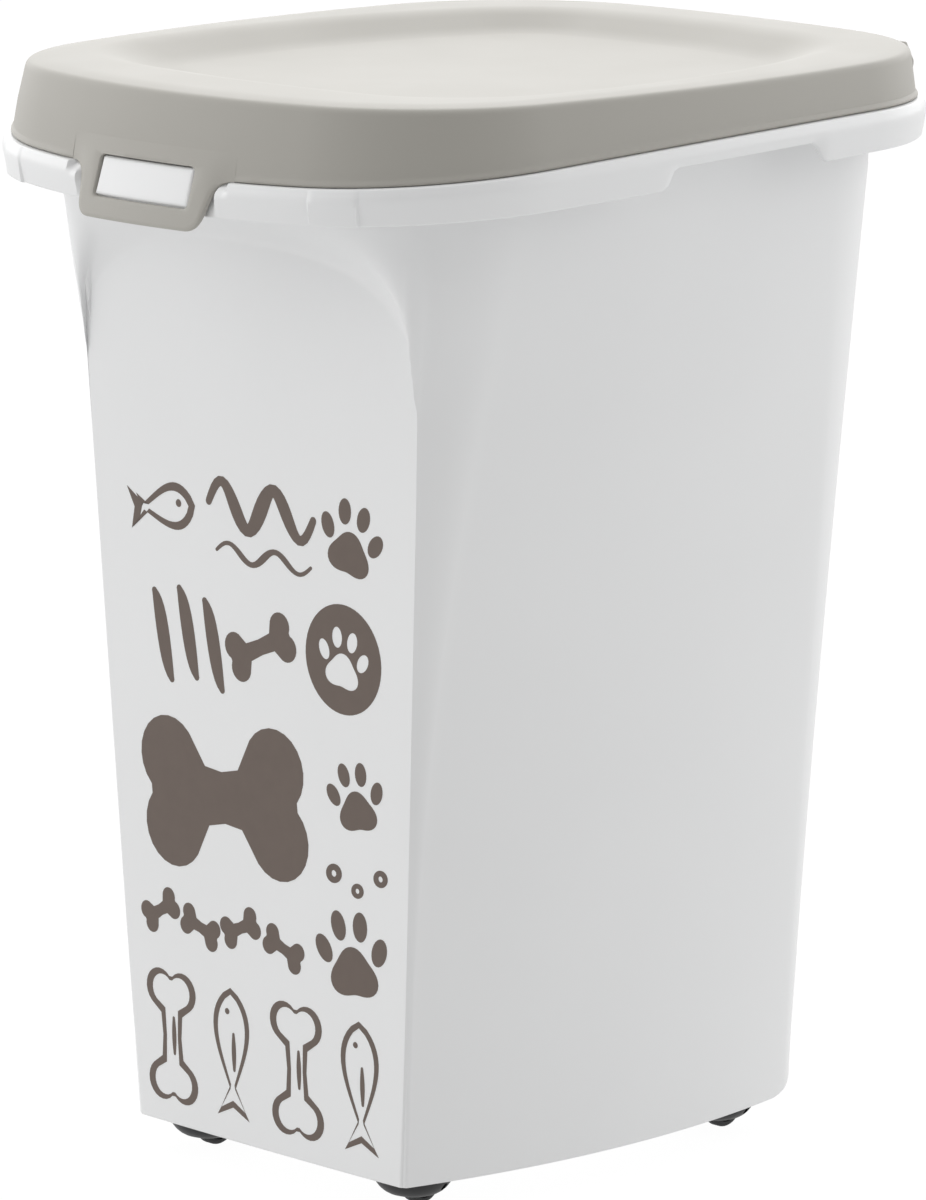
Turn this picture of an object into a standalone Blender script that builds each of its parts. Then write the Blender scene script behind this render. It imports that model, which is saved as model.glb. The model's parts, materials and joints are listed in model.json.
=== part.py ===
"""Pet food bin: a tapered tub on four domed castors, with a hinged lid and a front latch.

Metres, +Z up. The origin is on the floor, under the middle of the bin.
The front faces -Y, the lid hinges at the rear (+Y).
Every wall follows one set of columns that run round the plan from the front
centre to the rear centre, mirrored to the other side.
"""
import math

import bmesh
import bpy
from mathutils import Matrix, Vector

MM = 0.001

# Driving dimensions of the tub
FLOOR_GAP = 14 * MM          # floor to the tub's lower edge
WALL_TOP = 385 * MM          # lower edge to the band's level, where the wall is widest
LID_REACH = 400.2 * MM       # lower edge to the lid's lower edge, at the front
LID_TOP = 432.3 * MM         # lower edge to the lid's top face
COLLAR_TOP = 424 * MM        # lower edge to the top of the collar inside the lid
WALL = 2.5 * MM              # wall of the tub
BASE_PLATE = (24 * MM, 26.5 * MM)    # underside and top of the tub's floor

# Flat front panel, from the lower edge to the arch that ends it
PANEL_HALF = 77.1 * MM       # half width at the lower edge
PANEL_DEPTH = 109.6 * MM     # distance in front of the origin at the lower edge
PANEL_SPREAD = 0.0574        # growth of the half width per unit of height
PANEL_LEAN = 0.0263          # forward lean per unit of height
PANEL_BOW = 1.1 * MM
ARCH_START = 308 * MM        # height where the arch leaves the panel's edges
ARCH_TOP = 366 * MM          # height of the arch over the middle
ARCH_POWER = 2.6
FRACTION_POWER = 0.92        # gathers the front columns where the arch turns down

# Plan of the lid's lower edge: inner corners, corner radii and bowed sides
LID_FRONT_CORNER = (53.7 * MM, 77.4 * MM)
LID_REAR_CORNER = (52.5 * MM, 77.4 * MM)
LID_FRONT_RADIUS = 86.4 * MM
LID_REAR_RADIUS = 89.0 * MM
LID_BOWS = (7.0 * MM, 5.6 * MM, 3.0 * MM)    # front, side, rear
LID_EDGE_RISE = (35.0 * MM, -23.3 * MM)      # the lower edge climbs towards the rear

# Plan of the tub at its lower edge
FOOT_FRONT_RADIUS = 5 * MM
FOOT_REAR_CORNER = (66.7 * MM, 93.7 * MM)
FOOT_REAR_RADIUS = 20 * MM
FOOT_BOWS = (1.1 * MM, 12.5 * MM, 1.1 * MM)
HEEL_ROUND = 23 * MM         # how far the rear of the lower edge is rounded up
CORNER_GROWTH = 2.5          # the front corners stay tight and open late
REAR_GROWTH = 1.12           # the rear corners open a little late too
FLARE_POWER = 1.7            # the wall above the arch starts upright and flares near the rim
WALL_LEVELS = (0.15, 0.4, 0.65, 0.85, 1, 1.3, 1.6, 1.85, 2)    # rows of the outside
LINING_LEVELS = (2, 1.5, 1, 0.6, 0.3)                          # rows of the inside

# Rim, as offsets outwards from the plan of the lid's lower edge
WALL_INSET = 19 * MM
BAND_TOP_PROUD = 4.4 * MM
BAND_FOOT_PROUD = 2.0 * MM
BAND_WALL = 2.2 * MM
BAND_FOOT = (386 * MM, 28 * MM, -17.3 * MM)  # height of its foot at the front, and its rise to the rear
BAND_RECESS = -3.3 * MM                      # set back behind the latch
RECESS_TOP_RAMP = (46.5 * MM, 50 * MM)       # where the set-back place ends, from the middle
RECESS_FOOT_RAMP = (37.5 * MM, 40.5 * MM)
FLANGE = 2.5 * MM
ROOT_CHAMFER = 1.5 * MM                      # under the flange, where it leaves the wall
BAND_CHAMFER = 1 * MM                        # outer top edge of the band
LID_GAP = 0.6 * MM
GRIP_RISE = 8.2 * MM                         # hand-grip notch in the band
GRIP_SPAN = (-37 * MM, -31 * MM, 46 * MM, 54 * MM)
SIDE_STATIONS = 10                           # stations along a side, before the notch's corners
STATION_APART = 0.025                        # least share of the side between two stations
CORNER_TURNS = 4                             # columns on each half of a front corner
REAR_TURNS = 7                               # columns on a rear corner
FRONT_STOPS = [x * MM for x in (0, 12, 24, 36.2, 36.6, 39, 42.3, 46.5, 50)]    # front columns
PAD_SPAN = (81 * MM, 98.5 * MM)              # raised pads on the band's front corners
PAD_PROUD = 0.5 * MM

# Lid
LID_WALL = 2.4 * MM
SKIRT_SLOPE = 0.175                          # outward run of the skirt per unit of height
EDGE_START = 429.4 * MM                      # where the skirt's top edge starts to round over
EDGE_CHAMFER = 0.9 * MM
EDGE_RUN = 3 * MM
RECESS_FRONT = (58 * MM, 58.5 * MM)
RECESS_REAR = (47 * MM, 78 * MM)
RECESS_RADII = (60 * MM, 57 * MM)
RECESS_BOWS = (4 * MM, 9 * MM, 4 * MM)
RECESS_RUN = 22 * MM
RECESS_DEPTH = 8 * MM
PLUG = (-24.2 * MM, -26.4 * MM)              # ring that locates the lid inside the collar
PLUG_FOOT = 415 * MM
SEAL = (-17.6 * MM, -23.4 * MM)
CLEAR = 0.3 * MM

# Latch loop
SLOT_HALF = 36.2 * MM                        # half width of the slot in the lid's skirt
LATCH_HALF_TOP = 35.1 * MM
LATCH_HALF_FOOT = 35.5 * MM
LATCH_SLOPE = 0.276                          # the loop leans out more than the skirt
LATCH_TOP = 410.2 * MM
LATCH_FOOT = 381 * MM
LATCH_PIVOT = 411 * MM
LATCH_SLOT = 411.4 * MM                      # top of the slot in the lid's skirt
LONG_EDGE_PARTS = 6
WINDOW_HALF = 26.2 * MM
WINDOW = (388.4 * MM, 405 * MM)
CATCH_HALF = 24 * MM                         # raised pad that fills the window from behind
CATCH = (389.2 * MM, 404 * MM)
FILLET_REACH = 9.5 * MM                      # fillets where the loop meets the skirt
FILLET_DROP = 7 * MM

# Hinge
HINGE_Y = 171.7 * MM
HINGE_Z = 419.2 * MM
KNUCKLE_RADIUS = 5.4 * MM
EAR_SPAN = (68 * MM, 81 * MM)
LUG_SPAN = (54 * MM, 67.6 * MM)
LUG_ROOT = 10 * MM                           # how far ahead of the hinge line a lug starts
LUG_NECK = 4.2 * MM
LUG_WAIST = 6 * MM
EAR_TOP = ((1.5 * MM, -2.5 * MM), (-17 * MM, -1.2 * MM), (-14 * MM, -8 * MM))   # from hinge line and lid top
EAR_ROOT = 11 * MM
PIN_RADIUS = 2.2 * MM
PIN_SPAN = (55 * MM, 80.2 * MM)

# Castors
CASTOR_FRONT = (60 * MM, -87 * MM)
CASTOR_REAR = (66 * MM, 80 * MM)
CUP_RADIUS = 17.3 * MM
CUP_FOOT = 4.6 * MM
CUP_MOUTH = 7 * MM                           # radius where the dome's flank starts
CUP_TOP = 22 * MM
WHEEL_RADIUS = 9 * MM
WHEEL_WIDTH = 6.4 * MM
WHEEL_TRAIL = 3.5 * MM
WHEEL_SHOULDER = (1.5 * MM, 0.4 * MM)
AXLE_RADIUS = 1.4 * MM
AXLE_HALF = 11.5 * MM
STEM_RADIUS = 4 * MM
STEM_FLANGE = (6.5 * MM, 1.6 * MM)            # its radius, and its top above the cup
STEM_TOP = 40 * MM
BOSS_RADIUS = 8 * MM
BOSS_FOOT = 10.8 * MM
BOSS_TOP = 31 * MM

COLOURS = {
    "tub": ((0.86, 0.87, 0.87, 1), 0.35, 0.0),
    "lid": ((0.42, 0.41, 0.38, 1), 0.5, 0.0),
    "seal": ((0.55, 0.55, 0.53, 1), 0.8, 0.0),
    "castor": ((0.02, 0.02, 0.02, 1), 0.45, 0.0),
    "steel": ((0.6, 0.6, 0.62, 1), 0.3, 1.0),
}


# ---------------------------------------------------------------- plan curves

def bowed_side(start, end, bow, steps):
    """Points and outward normals along an arc from start to end that bulges by bow."""
    chord = end - start
    half = chord.length / 2
    along = chord.normalized()
    out = Vector((along.y, -along.x))
    half_angle = 2 * math.atan(bow / half)
    radius = half / math.sin(half_angle)
    centre = (start + end) / 2 + out * (bow - radius)
    samples = []
    for step in steps:
        angle = (2 * step - 1) * half_angle
        normal = out * math.cos(angle) + along * math.sin(angle)
        samples.append((centre + normal * radius, normal))
    return samples


def spread(count):
    return [step / count for step in range(count + 1)]


def turn(start, end, count):
    """Unit vectors that turn evenly from start to end, both ends left out."""
    first = math.atan2(start.y, start.x)
    last = math.atan2(end.y, end.x)
    angles = [first + (last - first) * step for step in spread(count)]
    return [Vector((math.cos(angle), math.sin(angle))) for angle in angles[1:-1]]


CREASE_NORMAL = Vector((math.sqrt(0.5), -math.sqrt(0.5)))


def side_steps():
    """Stations along the side: even ones, plus the corners of the hand-grip notch."""
    low, high = -LID_FRONT_CORNER[1], LID_REAR_CORNER[1]
    corners = [(stop - low) / (high - low) for stop in GRIP_SPAN]
    even = [step for step in spread(SIDE_STATIONS) if min(abs(step - c) for c in corners) > STATION_APART]
    return sorted(even + corners)


def plan_columns(front_corner, rear_corner, bows):
    """Base point, normal and rear share of each column, front centre to rear centre."""
    front_left = Vector((-front_corner[0], -front_corner[1]))
    front_right = Vector((front_corner[0], -front_corner[1]))
    rear_right = Vector((rear_corner[0], rear_corner[1]))
    rear_left = Vector((-rear_corner[0], rear_corner[1]))
    front = bowed_side(front_left, front_right, bows[0], lid_front_steps())
    stations = side_steps()
    side = bowed_side(front_right, rear_right, bows[1], stations)
    rear = bowed_side(rear_right, rear_left, bows[2], [0, 1 / 6, 1 / 3, 1 / 2])
    columns = [(point, normal, 0.0) for point, normal in front]
    columns += [(front_right, normal, 0.0) for normal in turn(front[-1][1], CREASE_NORMAL, CORNER_TURNS)]
    columns.append((front_right, CREASE_NORMAL, 0.0))
    columns += [(front_right, normal, 0.0) for normal in turn(CREASE_NORMAL, side[0][1], CORNER_TURNS)]
    columns += [(point, normal, step) for (point, normal), step in zip(side, stations)]
    columns += [(rear_right, normal, 1.0) for normal in turn(side[-1][1], rear[0][1], REAR_TURNS)]
    columns += [(point, normal, 1.0) for point, normal in rear]
    return columns


def lid_front_steps():
    """Places along the front bow whose points, pushed out to the lid's edge, sit at FRONT_STOPS."""
    corner = LID_FRONT_CORNER[0]
    half_angle = 2 * math.atan(LID_BOWS[0] / corner)
    radius = corner / math.sin(half_angle) + LID_FRONT_RADIUS
    stops = [math.asin(stop / radius) / half_angle for stop in FRONT_STOPS]
    return [0.5 + stop / 2 for stop in stops] + [1.0]


RIM = plan_columns(LID_FRONT_CORNER, LID_REAR_CORNER, LID_BOWS)
RECESS = plan_columns(RECESS_FRONT, RECESS_REAR, RECESS_BOWS)
HALF = len(RIM)
CREASE = len(FRONT_STOPS) + CORNER_TURNS


def pushed(columns, radii, index, offset):
    """A column's point at the outline's radius plus an offset."""
    base, normal, share = columns[index]
    radius = radii[0] + (radii[1] - radii[0]) * share
    return base + normal * (radius + offset)


def rim_point(index, offset):
    return pushed(RIM, (LID_FRONT_RADIUS, LID_REAR_RADIUS), index, offset)


def recess_point(index, offset):
    return pushed(RECESS, RECESS_RADII, index, offset)


RIM_FRONT = rim_point(0, 0).y
RIM_REAR = rim_point(HALF - 1, 0).y


def rear_share(index):
    """0 at the front of the rim and 1 at its rear."""
    return (rim_point(index, 0).y - RIM_FRONT) / (RIM_REAR - RIM_FRONT)


def lid_edge(index):
    """Height of the lid's lower edge, before the latch slot and its fillets."""
    share = rear_share(index)
    return LID_REACH + LID_EDGE_RISE[0] * share + LID_EDGE_RISE[1] * share ** 2


def blend(low, high, share):
    return low + (high - low) * share


def ease(low, high, value):
    share = min(max((value - low) / (high - low), 0), 1)
    return share * share * (3 - 2 * share)


# ---------------------------------------------------------------- tub wall

def arch_height(fraction):
    """Height of the arch at a fraction of the panel's half width."""
    fraction = min(fraction, 1.0)
    return blend(ARCH_START, ARCH_TOP, (1 - fraction ** ARCH_POWER) ** (1 / ARCH_POWER))


def crease_at(height):
    """The front corner of the wall: on the panel's edge, then out to the rim's shape."""
    half = PANEL_HALF + PANEL_SPREAD * height
    depth = PANEL_DEPTH + PANEL_LEAN * height
    top = rim_point(CREASE, -WALL_INSET)
    flare = (max(height - ARCH_START, 0) / (WALL_TOP - ARCH_START)) ** FLARE_POWER
    return blend(half, top.x, flare), blend(depth, -top.y, flare)


def wall_columns(height):
    """The wall's plan behind the crease at one height."""
    share = height / WALL_TOP
    growth = share ** CORNER_GROWTH
    front_radius = blend(FOOT_FRONT_RADIUS, LID_FRONT_RADIUS - WALL_INSET, growth)
    rear_radius = blend(FOOT_REAR_RADIUS, LID_REAR_RADIUS - WALL_INSET, share ** REAR_GROWTH)
    crease_x, crease_y = crease_at(height)
    back = front_radius * math.sqrt(0.5)
    front = (crease_x - back, crease_y - back)
    rear = tuple(blend(FOOT_REAR_CORNER[k], LID_REAR_CORNER[k], share) for k in (0, 1))
    bows = tuple(blend(FOOT_BOWS[k], LID_BOWS[k], share) for k in range(3))
    return plan_columns(front, rear, bows), (front_radius, rear_radius)


def front_fraction(index):
    """Where a front column meets the panel, as a fraction of its half width."""
    across = rim_point(index, 0).x / rim_point(CREASE, 0).x
    return math.sin(math.pi / 2 * across ** FRACTION_POWER)


def wall_point(index, level, inset):
    """A point of the wall; level is 0 at the lower edge, 1 at the arch and 2 at the rim."""
    if index >= CREASE:
        height = blend(0, ARCH_START, level) if level <= 1 else blend(ARCH_START, WALL_TOP, level - 1)
        columns, radii = wall_columns(height)
        point = pushed(columns, radii, index, -inset)
        return Vector((point.x, point.y, height))
    fraction = front_fraction(index)
    arch = arch_height(fraction)
    height = arch * min(level, 1)
    half = PANEL_HALF + PANEL_SPREAD * height - inset
    depth = PANEL_DEPTH + PANEL_LEAN * height + PANEL_BOW * (1 - fraction ** 2) - inset
    panel = Vector((half * fraction, -depth, height))
    if level <= 1:
        return panel
    top = rim_point(index, -WALL_INSET - inset)
    brow = level - 1
    flare = brow ** FLARE_POWER
    return Vector((blend(panel.x, top.x, flare), blend(panel.y, top.y, flare),
                   blend(arch, WALL_TOP, brow)))


def heel(point):
    """Rounds the rear of the lower edge up."""
    rear = FOOT_REAR_CORNER[1] + FOOT_REAR_RADIUS
    past = max(point.y - (rear - HEEL_ROUND), 0)
    past = min(past, HEEL_ROUND)
    return HEEL_ROUND - math.sqrt(HEEL_ROUND ** 2 - past ** 2) if past > 0 else 0.0


# ---------------------------------------------------------------- mesh helpers

def new_object(name, mesh_data, colour):
    mesh = bpy.data.meshes.new(name)
    mesh_data.to_mesh(mesh)
    mesh_data.free()
    item = bpy.data.objects.new(name, mesh)
    bpy.context.scene.collection.objects.link(item)
    mesh.materials.append(material(colour))
    return item


def material(colour):
    known = bpy.data.materials.get(colour)
    if known:
        return known
    base, roughness, metallic = COLOURS[colour]
    made = bpy.data.materials.new(colour)
    made.use_nodes = True
    shader = made.node_tree.nodes["Principled BSDF"]
    shader.inputs["Base Color"].default_value = base
    shader.inputs["Roughness"].default_value = roughness
    shader.inputs["Metallic"].default_value = metallic
    return made


def ring_mesh(rows, closed_profile):
    """Quads between rows of points; each row is a half ring that is mirrored to a full one."""
    data = bmesh.new()
    rings = []
    for row in rows:
        right = [data.verts.new(point) for point in row]
        left = [data.verts.new((-point.x, point.y, point.z)) for point in reversed(row[1:-1])]
        rings.append(right + left)
    pairs = list(zip(rings, rings[1:]))
    if closed_profile:
        pairs.append((rings[-1], rings[0]))
    for lower, upper in pairs:
        for step in range(len(lower)):
            ahead = (step + 1) % len(lower)
            data.faces.new((lower[step], lower[ahead], upper[ahead], upper[step]))
    if not closed_profile:
        data.faces.new(list(reversed(rings[0])))
        data.faces.new(rings[-1])
    return data


def turned(name, profile, colour, steps, at=(0, 0, 0)):
    """A solid turned about the vertical through a place, from (radius, height) points."""
    data = bmesh.new()
    rings = []
    for radius, height in profile:
        if radius == 0:
            rings.append([data.verts.new((0, 0, height))])
            continue
        angles = [2 * math.pi * step / steps for step in range(steps)]
        rings.append([data.verts.new((radius * math.cos(a), radius * math.sin(a), height))
                      for a in angles])
    for lower, upper in zip(rings, rings[1:]):
        for step in range(steps):
            ahead = (step + 1) % steps
            corners = [lower[step % len(lower)], lower[ahead % len(lower)],
                       upper[ahead % len(upper)], upper[step % len(upper)]]
            data.faces.new(list(dict.fromkeys(corners)))
    if len(rings[0]) > 1:
        data.faces.new(list(reversed(rings[0])))
    if len(rings[-1]) > 1:
        data.faces.new(rings[-1])
    bmesh.ops.recalc_face_normals(data, faces=data.faces)
    item = new_object(name, data, colour)
    item.location = at
    return item


def lie_along_x(item):
    item.rotation_euler = (0, math.pi / 2, 0)
    return item


def lofted(name, sections, colour):
    """A solid through sections of (x, outline), each outline the same count of (y, z) points."""
    data = bmesh.new()
    rings = [[data.verts.new((x, y, z)) for y, z in outline] for x, outline in sections]
    data.faces.new(rings[0])
    data.faces.new(list(reversed(rings[-1])))
    for near, far in zip(rings, rings[1:]):
        for step in range(len(near)):
            ahead = (step + 1) % len(near)
            data.faces.new((near[step], far[step], far[ahead], near[ahead]))
    bmesh.ops.recalc_face_normals(data, faces=data.faces)
    return new_object(name, data, colour)


def side_plate(name, outline, span, colour):
    """A plate with an outline of (y, z) points between two x positions."""
    return lofted(name, [(x, outline) for x in span], colour)


def hide_tool(item):
    item.hide_render = True
    item.display_type = "WIRE"


def combine(target, tool, operation):
    hide_tool(tool)
    step = target.modifiers.new(tool.name, "BOOLEAN")
    step.operation = operation
    step.solver = "EXACT"
    step.object = tool


# ---------------------------------------------------------------- tub

def band_offset(index, proud, ramp):
    """The band stands proud of the lid, apart from a set-back place behind the latch."""
    across = rim_point(index, 0).x
    share = ease(ramp[0], ramp[1], across) if index < CREASE else 1.0
    pad = PAD_PROUD if index < CREASE + 3 and PAD_SPAN[0] < across < PAD_SPAN[1] else 0.0
    return blend(BAND_RECESS, proud, share) + pad


def band_foot(index):
    """Height of the band's foot, lifted in the hand-grip notches on the sides."""
    share = rear_share(index)
    height = BAND_FOOT[0] + BAND_FOOT[1] * share + BAND_FOOT[2] * share ** 2
    if index <= CREASE:
        return height
    along = rim_point(index, 0).y
    grip = min(ease(GRIP_SPAN[0], GRIP_SPAN[1], along), 1 - ease(GRIP_SPAN[2], GRIP_SPAN[3], along))
    return height + GRIP_RISE * grip


def on_rim(index, offset, height):
    point = rim_point(index, offset)
    return Vector((point.x, point.y, height))


def tub_rows():
    """Rows of the tub's skin, from the underside of its floor, outside, over the rim and in."""
    columns = range(HALF)
    rows = []
    under = [wall_point(index, 0, WALL) for index in columns]
    rows.append([Vector((p.x, p.y, BASE_PLATE[0])) for p in under])
    foot = [wall_point(index, 0, 0) for index in columns]
    rows.append([Vector((p.x, p.y, heel(q))) for p, q in zip(under, foot)])
    rows.append([Vector((p.x, p.y, heel(p))) for p in foot])
    for level in WALL_LEVELS:
        rows.append([wall_point(index, level, 0) for index in columns])
    for places in zip(*[rim_profile(index) for index in columns]):
        rows.append([on_rim(index, *place) for index, place in enumerate(places)])
    for level in LINING_LEVELS:
        rows.append([wall_point(index, level, WALL) for index in columns])
    inside = [wall_point(index, BASE_PLATE[1] / ARCH_START, WALL) for index in columns]
    rows.append([Vector((p.x, p.y, BASE_PLATE[1])) for p in inside])
    return rows


def rim_profile(index):
    """(offset, height) pairs from the wall, round the flange and its band, to inside the collar."""
    top = lid_edge(index) - LID_GAP
    foot = band_foot(index)
    band_top = band_offset(index, BAND_TOP_PROUD, RECESS_TOP_RAMP)
    band_low = band_offset(index, BAND_FOOT_PROUD, RECESS_FOOT_RAMP)
    return [
        (-WALL_INSET, top - FLANGE - ROOT_CHAMFER),
        (ROOT_CHAMFER - WALL_INSET, top - FLANGE),
        (band_top - BAND_WALL, top - FLANGE),
        (band_low - BAND_WALL, foot),
        (band_low, foot),
        (band_top, top - BAND_CHAMFER),
        (band_top - BAND_CHAMFER, top),
        (-WALL_INSET, top),
        (-WALL_INSET, COLLAR_TOP),
        (-WALL_INSET - WALL, COLLAR_TOP),
    ]


def lifted(rows):
    return [[point + Vector((0, 0, FLOOR_GAP)) for point in row] for row in rows]


def castor_places():
    for x, y in (CASTOR_FRONT, CASTOR_REAR):
        for side, sign in (("left", -1), ("right", 1)):
            end = "front" if y < 0 else "rear"
            yield f"{end}_{side}", (sign * x, y)


def knuckle_arc(start, end):
    """Points of a hinge knuckle's round side between two angles in degrees, in steps of 20."""
    arc = []
    for degrees in range(start, end + 1, 20):
        angle = math.radians(degrees)
        arc.append((HINGE_Y + KNUCKLE_RADIUS * math.cos(angle),
                    HINGE_Z + FLOOR_GAP + KNUCKLE_RADIUS * math.sin(angle)))
    return arc


def bin_body():
    item = new_object("bin_body", ring_mesh(lifted(tub_rows()), False), "tub")
    for place, (x, y) in castor_places():
        low = BOSS_FOOT + FLOOR_GAP
        top = BOSS_TOP + FLOOR_GAP
        boss = turned("boss_" + place, [(BOSS_RADIUS, low), (BOSS_RADIUS, top - 2 * MM),
                                        (BOSS_RADIUS - 2 * MM, top)], "tub", 16, (x, y, 0))
        combine(item, boss, "UNION")
        reach = STEM_TOP + CLEAR
        socket = turned("socket_" + place, [(STEM_RADIUS + CLEAR, low - 5 * MM),
                                            (STEM_RADIUS + CLEAR, reach)], "tub", 16, (x, y, 0))
        combine(item, socket, "DIFFERENCE")
    add_lugs(item)
    add_catch(item)
    return item


def add_lugs(item):
    """Hinge lugs that stand on the rear of the band, with a hole for each pin."""
    centre_z = HINGE_Z + FLOOR_GAP
    foot = sum(BAND_FOOT) + FLOOR_GAP + 2 * MM
    shelf = lid_edge(HALF - 1) - LID_GAP - 1.2 * MM + FLOOR_GAP
    root = HINGE_Y - LUG_ROOT
    neck = HINGE_Y - LUG_NECK
    waist = centre_z - LUG_WAIST
    outline = [(HINGE_Y + KNUCKLE_RADIUS, waist)] + knuckle_arc(0, 180)
    outline += [(neck, waist), (neck, shelf), (root, shelf), (root, foot), (HINGE_Y - 1 * MM, foot)]
    for side, sign in (("left", -1), ("right", 1)):
        span = sorted(sign * x for x in LUG_SPAN)
        lug = side_plate("lug_" + side, outline, span, "tub")
        combine(item, lug, "UNION")
        combine(item, pin_tool("lug_hole_" + side, sign), "DIFFERENCE")


def pin_tool(name, sign):
    """A cutter for a hinge hole, a little wider than the pin."""
    middle = sign * (PIN_SPAN[0] + PIN_SPAN[1]) / 2
    half = (EAR_SPAN[1] - LUG_SPAN[0]) / 2 + 3 * MM
    radius = PIN_RADIUS + CLEAR
    tool = turned(name, [(radius, -half), (radius, half)], "steel", 12,
                  (middle, HINGE_Y, HINGE_Z + FLOOR_GAP))
    return lie_along_x(tool)


def add_catch(item):
    """The raised pad that the latch's window closes round, with its top sloped back."""
    face = BAND_RECESS - 1 * MM
    sections = []
    for share in spread(6):
        across = CATCH_HALF * (2 * share - 1)
        low = latch_face(across, CATCH[0]) + LID_WALL + CLEAR
        high = latch_face(across, CATCH[1] - 2 * MM) + LID_WALL + CLEAR
        back = front_curve(across) - face
        outline = [(back, CATCH[0]), (low, CATCH[0]), (high, CATCH[1] - 2 * MM), (back, CATCH[1])]
        sections.append((across, [(y, z + FLOOR_GAP) for y, z in outline]))
    combine(item, lofted("catch", sections, "tub"), "UNION")


# ---------------------------------------------------------------- lid

def skirt_foot(index):
    """The lid's lower edge with the latch slot and the fillets beside it."""
    edge = lid_edge(index)
    across = rim_point(index, 0).x
    if index >= CREASE or across > SLOT_HALF + FILLET_REACH + 0.5 * MM:
        return edge
    if across < SLOT_HALF + 0.2 * MM:
        return LATCH_SLOT
    share = 1 - (across - SLOT_HALF) / FILLET_REACH
    return edge - FILLET_DROP * max(share, 0) ** 2


def lid_section(index):
    """(offset, height) pairs from the plug under the lid, round the skirt's foot, to the lid's top."""
    foot = skirt_foot(index)
    inner_top = LID_TOP - LID_WALL

    def slope(height):
        return SKIRT_SLOPE * (lid_edge(index) - height)

    return [
        (PLUG[1], inner_top - 1 * MM),
        (PLUG[1], PLUG_FOOT),
        (PLUG[0], PLUG_FOOT),
        (PLUG[0], inner_top),
        (slope(inner_top) - LID_WALL - 1 * MM, inner_top),
        (slope(foot) - LID_WALL, foot),
        (slope(foot), foot),
        (slope(EDGE_START), EDGE_START),
        (slope(EDGE_START) - EDGE_CHAMFER, LID_TOP - EDGE_CHAMFER),
        (slope(EDGE_START) - EDGE_RUN, LID_TOP),
    ]


def lid_rows():
    """Rows of the lid's skin, from the middle of its underside, over the skirt to the recess."""
    columns = range(HALF)
    floor_z = LID_TOP - RECESS_DEPTH
    under = LID_TOP - LID_WALL - 1 * MM
    rows = [[recess_at(index, -RECESS_RUN, floor_z - LID_WALL) for index in columns],
            [recess_at(index, -3 * MM, under) for index in columns]]
    for places in zip(*[lid_section(index) for index in columns]):
        rows.append([on_rim(index, *place) for index, place in enumerate(places)])
    rows.append([recess_at(index, 0, LID_TOP) for index in columns])
    rows.append([recess_at(index, -RECESS_RUN, floor_z) for index in columns])
    return rows


def recess_at(index, offset, height):
    point = recess_point(index, offset)
    return Vector((point.x, point.y, height))


def lid():
    item = new_object("lid", ring_mesh(lifted(lid_rows()), False), "lid")
    centre_z = HINGE_Z + FLOOR_GAP
    top = LID_TOP + FLOOR_GAP
    arm = [(HINGE_Y + along, top + drop) for along, drop in EAR_TOP]
    arm.append((HINGE_Y - EAR_ROOT, centre_z - KNUCKLE_RADIUS))
    for side, sign in (("left", -1), ("right", 1)):
        span = sorted(sign * x for x in EAR_SPAN)
        ear = side_plate("ear_" + side, knuckle_arc(-90, 10) + arm, span, "lid")
        combine(item, ear, "UNION")
        combine(item, pin_tool("ear_hole_" + side, sign), "DIFFERENCE")
    return item


def lid_seal():
    """Soft ring under the lid, over the collar."""
    low = COLLAR_TOP + CLEAR
    high = LID_TOP - LID_WALL - CLEAR
    columns = range(HALF)
    rows = []
    for offset, height in ((SEAL[1], low), (SEAL[0], low), (SEAL[0], high), (SEAL[1], high)):
        rows.append([on_rim(index, offset, height) for index in columns])
    return new_object("lid_seal", ring_mesh(lifted(rows), True), "seal")


# ---------------------------------------------------------------- latch

def front_curve(across):
    """The front of the lid's lower edge at a distance from the middle."""
    corner = LID_FRONT_CORNER[0]
    half_angle = 2 * math.atan(LID_BOWS[0] / corner)
    radius = corner / math.sin(half_angle) + LID_FRONT_RADIUS
    return RIM_FRONT + radius - math.sqrt(radius ** 2 - across ** 2)


def latch_face(across, height):
    """Front face of the latch: flush with the skirt at its top, then further out."""
    flush = SKIRT_SLOPE * (LID_REACH - LATCH_TOP)
    return front_curve(across) - flush - LATCH_SLOPE * (LATCH_TOP - height)


def rounded_loop(corners, radii, steps):
    """A closed outline through corners, each rounded with its own radius."""
    points = []
    for place, (corner, radius) in enumerate(zip(corners, radii)):
        before = (Vector(corners[place - 1]) - Vector(corner)).normalized()
        after = (Vector(corners[(place + 1) % len(corners)]) - Vector(corner)).normalized()
        half = before.angle(after) / 2
        reach = radius / math.tan(half)
        centre = Vector(corner) + (before + after).normalized() * radius / math.sin(half)
        start = (Vector(corner) + before * reach - centre).normalized()
        end = (Vector(corner) + after * reach - centre).normalized()
        for step in range(steps + 1):
            points.append(centre + start.slerp(end, step / steps) * radius)
    return points


def matched(outer, inner):
    """Both outlines with the same extra points on the long edges between their round corners."""
    pair = ([], [])
    for place in range(len(outer)):
        ahead = (place + 1) % len(outer)
        parts = LONG_EDGE_PARTS if (outer[ahead] - outer[place]).length > WINDOW_HALF else 1
        for points, loop in zip(pair, (outer, inner)):
            points += [loop[place].lerp(loop[ahead], part / parts) for part in range(parts)]
    return pair


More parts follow.
